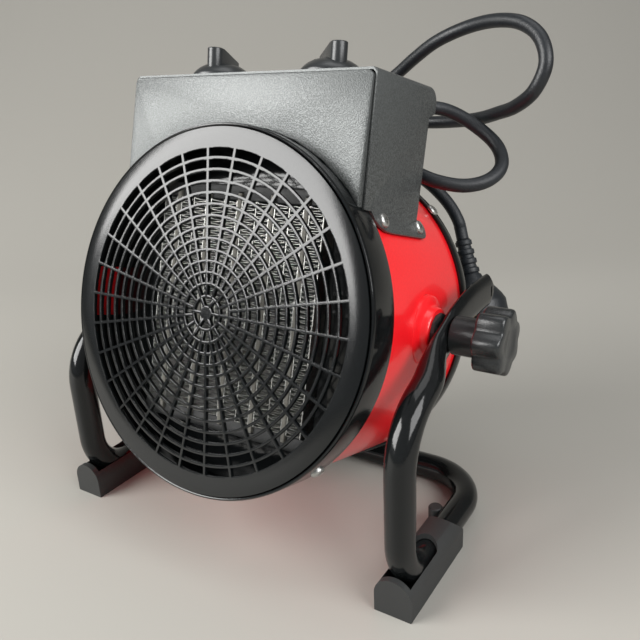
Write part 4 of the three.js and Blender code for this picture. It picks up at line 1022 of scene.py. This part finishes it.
class HEATER_OT_grilles(bpy.types.Operator):
    """Pierces the front grille and the rear grille"""
    bl_idname = "heater.grilles"
    bl_label = "Grilles"

    def execute(self, context):
        sizes = context.scene.heater_sizes
        rows = [FRONT_FIRST_ROW - row * FRONT_ROW for row in range(sizes.grille_rows + 1)]
        front = pierced_disc("outlet_grille", sizes.grille_spokes, FRONT_FLANGE, rows,
                             FRONT_HUB_ROWS, sizes.grille_bar, 2.2)
        dress(front, "heater", "satin_black_paint", ["front_grille"], DRUM @ ALONG_Y, 40)
        rear = pierced_disc("inlet_grille", REAR_SPOKES, REAR_FLANGE, REAR_ROWS, REAR_HUB_ROWS,
                            sizes.grille_bar, 1.4)
        dress(rear, "heater", "satin_black_paint", ["rear_grille"],
              DRUM @ shift(0, REAR_PLACE, 0) @ ALONG_Y, 40)
        return {"FINISHED"}


# ---- heating core

CORE_FRONT, CORE_DEPTH = 19.4, 14
CORE_BOTTOM, CORE_TOP = -59.5, 61.5
CORE_PITCH = 22
BAR_MIDDLES = [(i - 2) * CORE_PITCH for i in range(5)]
BAR_HALF = 1.5                      # half of a bar with its gap
PLATE = 0.6
FIN_GAP = 0.15                      # between a strip's folds and its plates
FOLD_SHARES = (0.0, 0.92, 1.0, 0.08)                    # one fold's points across the strip


def fin_strip(name, left, right, pitch):
    """One strip folded to and fro between two plates, of thin sheet."""
    folds = round((CORE_TOP - CORE_BOTTOM) / (pitch / MM)) * 2
    begin()
    bpy.ops.mesh.primitive_grid_add(x_subdivisions=1, y_subdivisions=folds * 2, size=1)
    strip = named(name)
    for vert in strip.data.vertices:
        row = round((vert.co.y + 0.5) * folds * 2)
        height = CORE_BOTTOM + (CORE_TOP - CORE_BOTTOM) * row / (folds * 2)
        depth = CORE_FRONT + 0.2 + (CORE_DEPTH - 0.6) * (vert.co.x + 0.5)
        vert.co = mm(left + (right - left) * FOLD_SHARES[row % 4], depth, height)
    modify(strip, "SOLIDIFY", thickness=mm(0.3), offset=0)
    return strip


class HEATER_OT_core(bpy.types.Operator):
    """Folds the fins between their plates and finishes the heating core's other parts"""
    bl_idname = "heater.core"
    bl_label = "Heating core"

    def execute(self, context):
        pitch = context.scene.heater_sizes.fin_pitch
        back = CORE_FRONT + CORE_DEPTH

        def plate(edge):
            return slab("plate", (edge, CORE_FRONT, CORE_BOTTOM), (edge + PLATE, back, CORE_TOP))

        pieces = []
        outer = CORE_PITCH / 2 - PLATE - FIN_GAP
        inner = BAR_HALF + PLATE + FIN_GAP
        for i, middle in enumerate(BAR_MIDDLES):
            pieces.append(fin_strip(f"fins_{i}_left", middle - outer, middle - inner, pitch))
            pieces.append(fin_strip(f"fins_{i}_right", middle + inner, middle + outer, pitch))
            for edge in (middle - BAR_HALF - PLATE, middle + BAR_HALF, middle - CORE_PITCH / 2):
                pieces.append(plate(edge))
        pieces.append(plate(BAR_MIDDLES[-1] + CORE_PITCH / 2 - PLATE))
        pieces.append(slab("strap", (BAR_MIDDLES[0] - CORE_PITCH / 2, back - PLATE, -1.5),
                           (BAR_MIDDLES[-1] + CORE_PITCH / 2, back, 3.5)))
        core = joined("folded_fins", pieces)
        dress(core, "heater", "aluminium", ["core_fins"], DRUM, 20)
        for i in range(1, 6):
            rounded_copy(f"ceramic_bar_{i}", f"heating_bar_{i}", "ceramic", 0.25)
        for side in ("top", "bottom"):
            rounded_copy(f"core_holder_{side}", f"core_end_{side}", "black_plastic", 0.5)
        rounded_copy("baffle", "sheet_baffle", "gloss_black_paint", 0.2)
        return {"FINISHED"}


# ---- fan and motor

class HEATER_OT_fan_drive(bpy.types.Operator):
    """Finishes the fan, the motor and its bracket"""
    bl_idname = "heater.fan_drive"
    bl_label = "Fan drive"

    def execute(self, context):
        rounded_copy("fan", "bladed_fan", "black_plastic", 0.35, "fan_rotor")
        rounded_copy("motor", "motor_can", "steel", 0.4)
        rounded_copy("motor_bracket", "motor_arms", "steel", 0.4)
        return {"FINISHED"}


# ---- control box and dials

TOP_HEIGHT = 131.02                 # the box's top between the dials, over the drum's axis
TOP_FRAME = DRUM @ shift(0, 39.7, TOP_HEIGHT) @ Matrix.Rotation(BOX_SLOPE, 4, "X")
COVER_BENDS = [(79.6, 2.6, 12.5), (78.4, 1.4, -25)]     # half width, radius, foremost point
BEND_START = 16                     # a bent edge reaches back past this plane
LIP_BACK, LIP_DROP = 37, 12.4       # the lip behind the dials, and its edge below the top
DIALS = {
    "mode": (-37.5, math.radians(12)),
    "thermostat": (37.5, math.radians(50)),
}


def off_flange(cover):
    """Takes the plain screw heads off the cover's copy, where finer ones stand."""
    edit(cover)
    seats = [seat_on_flange(*seat) for seat in FLANGE_SCREWS]

    def on_head(middle):
        return any((middle - seat.translation).dot(seat.col[2].xyz) > mm(0.1)
                   and (middle - seat.translation).length < mm(SCREW_REACH) for seat in seats)

    select_where(cover, "FACE", on_head)
    bpy.ops.mesh.delete(type="FACE")
    select_all()
    bpy.ops.mesh.fill_holes(sides=14)
    begin()


def round_top(cover):
    """Bends the cover round at both sides of its top and of the lip behind."""
    back = DRUM.inverted()
    lowest = mm(TOP_HEIGHT + LIP_BACK * math.tan(BOX_SLOPE) - LIP_DROP)
    for half, radius, front in COVER_BENDS:
        edit(cover)

        def on_edge(a, b):
            a, b = back @ a, back @ b
            return (all(abs(abs(end.x) - mm(half)) < mm(0.1) and end.z > lowest for end in (a, b))
                    and abs(a.y - b.y) + abs(a.z - b.z) > mm(0.5)
                    and min(a.y, b.y) > mm(front) and max(a.y, b.y) >= mm(BEND_START))

        select_where(cover, "EDGE", on_edge)
        bpy.ops.mesh.bevel(offset=mm(radius), segments=5)
        begin()


def dial_body():
    """A domed dial with a raised grip: a round nose that falls away to a narrow tail."""
    dome = turned("dial_dome", [
        (16.6, 0.6), (17.2, 1.0), (17.2, 2.4), (16.9, 3.2), (15.2, 5.0), (13.2, 6.6), (10.5, 8.1),
        (7.5, 9.0), (4, 9.5), (1, 9.6)], 72)
    grip = slab("dial_grip", (-4.5, -14, 1.4), (4.5, 14, 16.8))
    edit(grip)
    select_where(grip, "EDGE", lambda a, b: a.y < 0 and b.y < 0 and abs(a.z - b.z) > mm(5))
    bpy.ops.mesh.bevel(offset=mm(4.5) * 0.995, segments=12)
    select_where(grip, "VERT", lambda co: co.y > mm(13))
    bpy.ops.transform.resize(value=(0.72, 1, 1), center_override=(0, 0, 0))
    select_all()
    bpy.ops.mesh.bisect(plane_co=mm(0, -5.4, 16.6), plane_no=(0, 0.2, 0.98),
                        use_fill=True, clear_outer=True)
    begin()
    round_edges(grip, mm(0.9), 3)
    return joined("dial_master", [dome, grip])


class HEATER_OT_control_box(bpy.types.Operator):
    """Finishes the control box's sheets and sets its two dials"""
    bl_idname = "heater.control_box"
    bl_label = "Control box"

    def execute(self, context):
        radius = context.scene.heater_sizes.bend_radius
        for node, name in (("box_cover", "folded_cover"), ("box_front_panel", "front_sheet"),
                           ("box_rear_panel", "rear_sheet")):
            piece = cad_copy(node, name)
            if node == "box_cover":
                off_flange(piece)
                round_top(piece)
            round_edges(piece, radius, 2, 40)
            dress(piece, "heater", "textured_black_paint", [node])
        dial = dial_body()
        for name, (across, turn) in DIALS.items():
            place = (TOP_FRAME @ shift(across, 0, 0)
                     @ Matrix.Rotation(turn, 4, "Z"))
            dress(copy_of(dial, f"{name}_dial_domed", place), f"{name}_knob",
                  "gloss_black_plastic", [f"{name}_dial"])
        bpy.data.objects.remove(dial)
        return {"FINISHED"}


# ---- parts kept from the frame

KEPT_NODES = {
    "black_plastic": ["toothed_washer_right", "toothed_washer_left", "mode_switch"],
    "steel": ["clamp_bolt_right", "clamp_bolt_left", "thermal_cutout", "motor_shaft",
              "thermostat", "mode_spindle", "thermostat_spindle"],
    "brass": ["fan_nut"],
}


class HEATER_OT_kept_parts(bpy.types.Operator):
    """Paints the small parts whose shape stays as it is in the frame"""
    bl_idname = "heater.kept_parts"
    bl_label = "Kept parts"

    def execute(self, context):
        for finish, nodes in KEPT_NODES.items():
            for node in nodes:
                materials = frame["nodes"][node].data.materials
                materials.clear()
                materials.append(finishes[finish])
        return {"FINISHED"}


# ---- add-on

STEPS = ("finishes", "stage", "lead", "stand", "clamps", "drum", "grilles", "core", "fan_drive",
         "control_box", "kept_parts")


class HEATER_PT_panel(bpy.types.Panel):
    """Lists the heater's pieces"""
    bl_label = "Forced Air Heater"
    bl_idname = "HEATER_PT_panel"
    bl_space_type = "VIEW_3D"
    bl_region_type = "UI"
    bl_category = "Heater"

    def draw(self, context):
        for step in STEPS:
            self.layout.operator(f"heater.{step}")
        for group in (context.scene.heater_sizes, context.scene.heater_colours):
            for key in group.__annotations__:
                self.layout.prop(group, key)


CLASSES = (
    HeaterSizes, HeaterColours, HEATER_OT_finishes, HEATER_OT_stage, HEATER_OT_lead,
    HEATER_OT_stand, HEATER_OT_clamps, HEATER_OT_drum, HEATER_OT_grilles, HEATER_OT_core,
    HEATER_OT_fan_drive, HEATER_OT_control_box, HEATER_OT_kept_parts, HEATER_PT_panel,
)


def register():
    for cls in CLASSES:
        bpy.utils.register_class(cls)
    bpy.types.Scene.heater_sizes = PointerProperty(type=HeaterSizes)
    bpy.types.Scene.heater_colours = PointerProperty(type=HeaterColours)


def unregister():
    del bpy.types.Scene.heater_colours
    del bpy.types.Scene.heater_sizes
    for cls in reversed(CLASSES):
        bpy.utils.unregister_class(cls)


def main():
    register()
    for step in STEPS:
        getattr(bpy.ops.heater, step)()


if __name__ == "__main__":
    main()
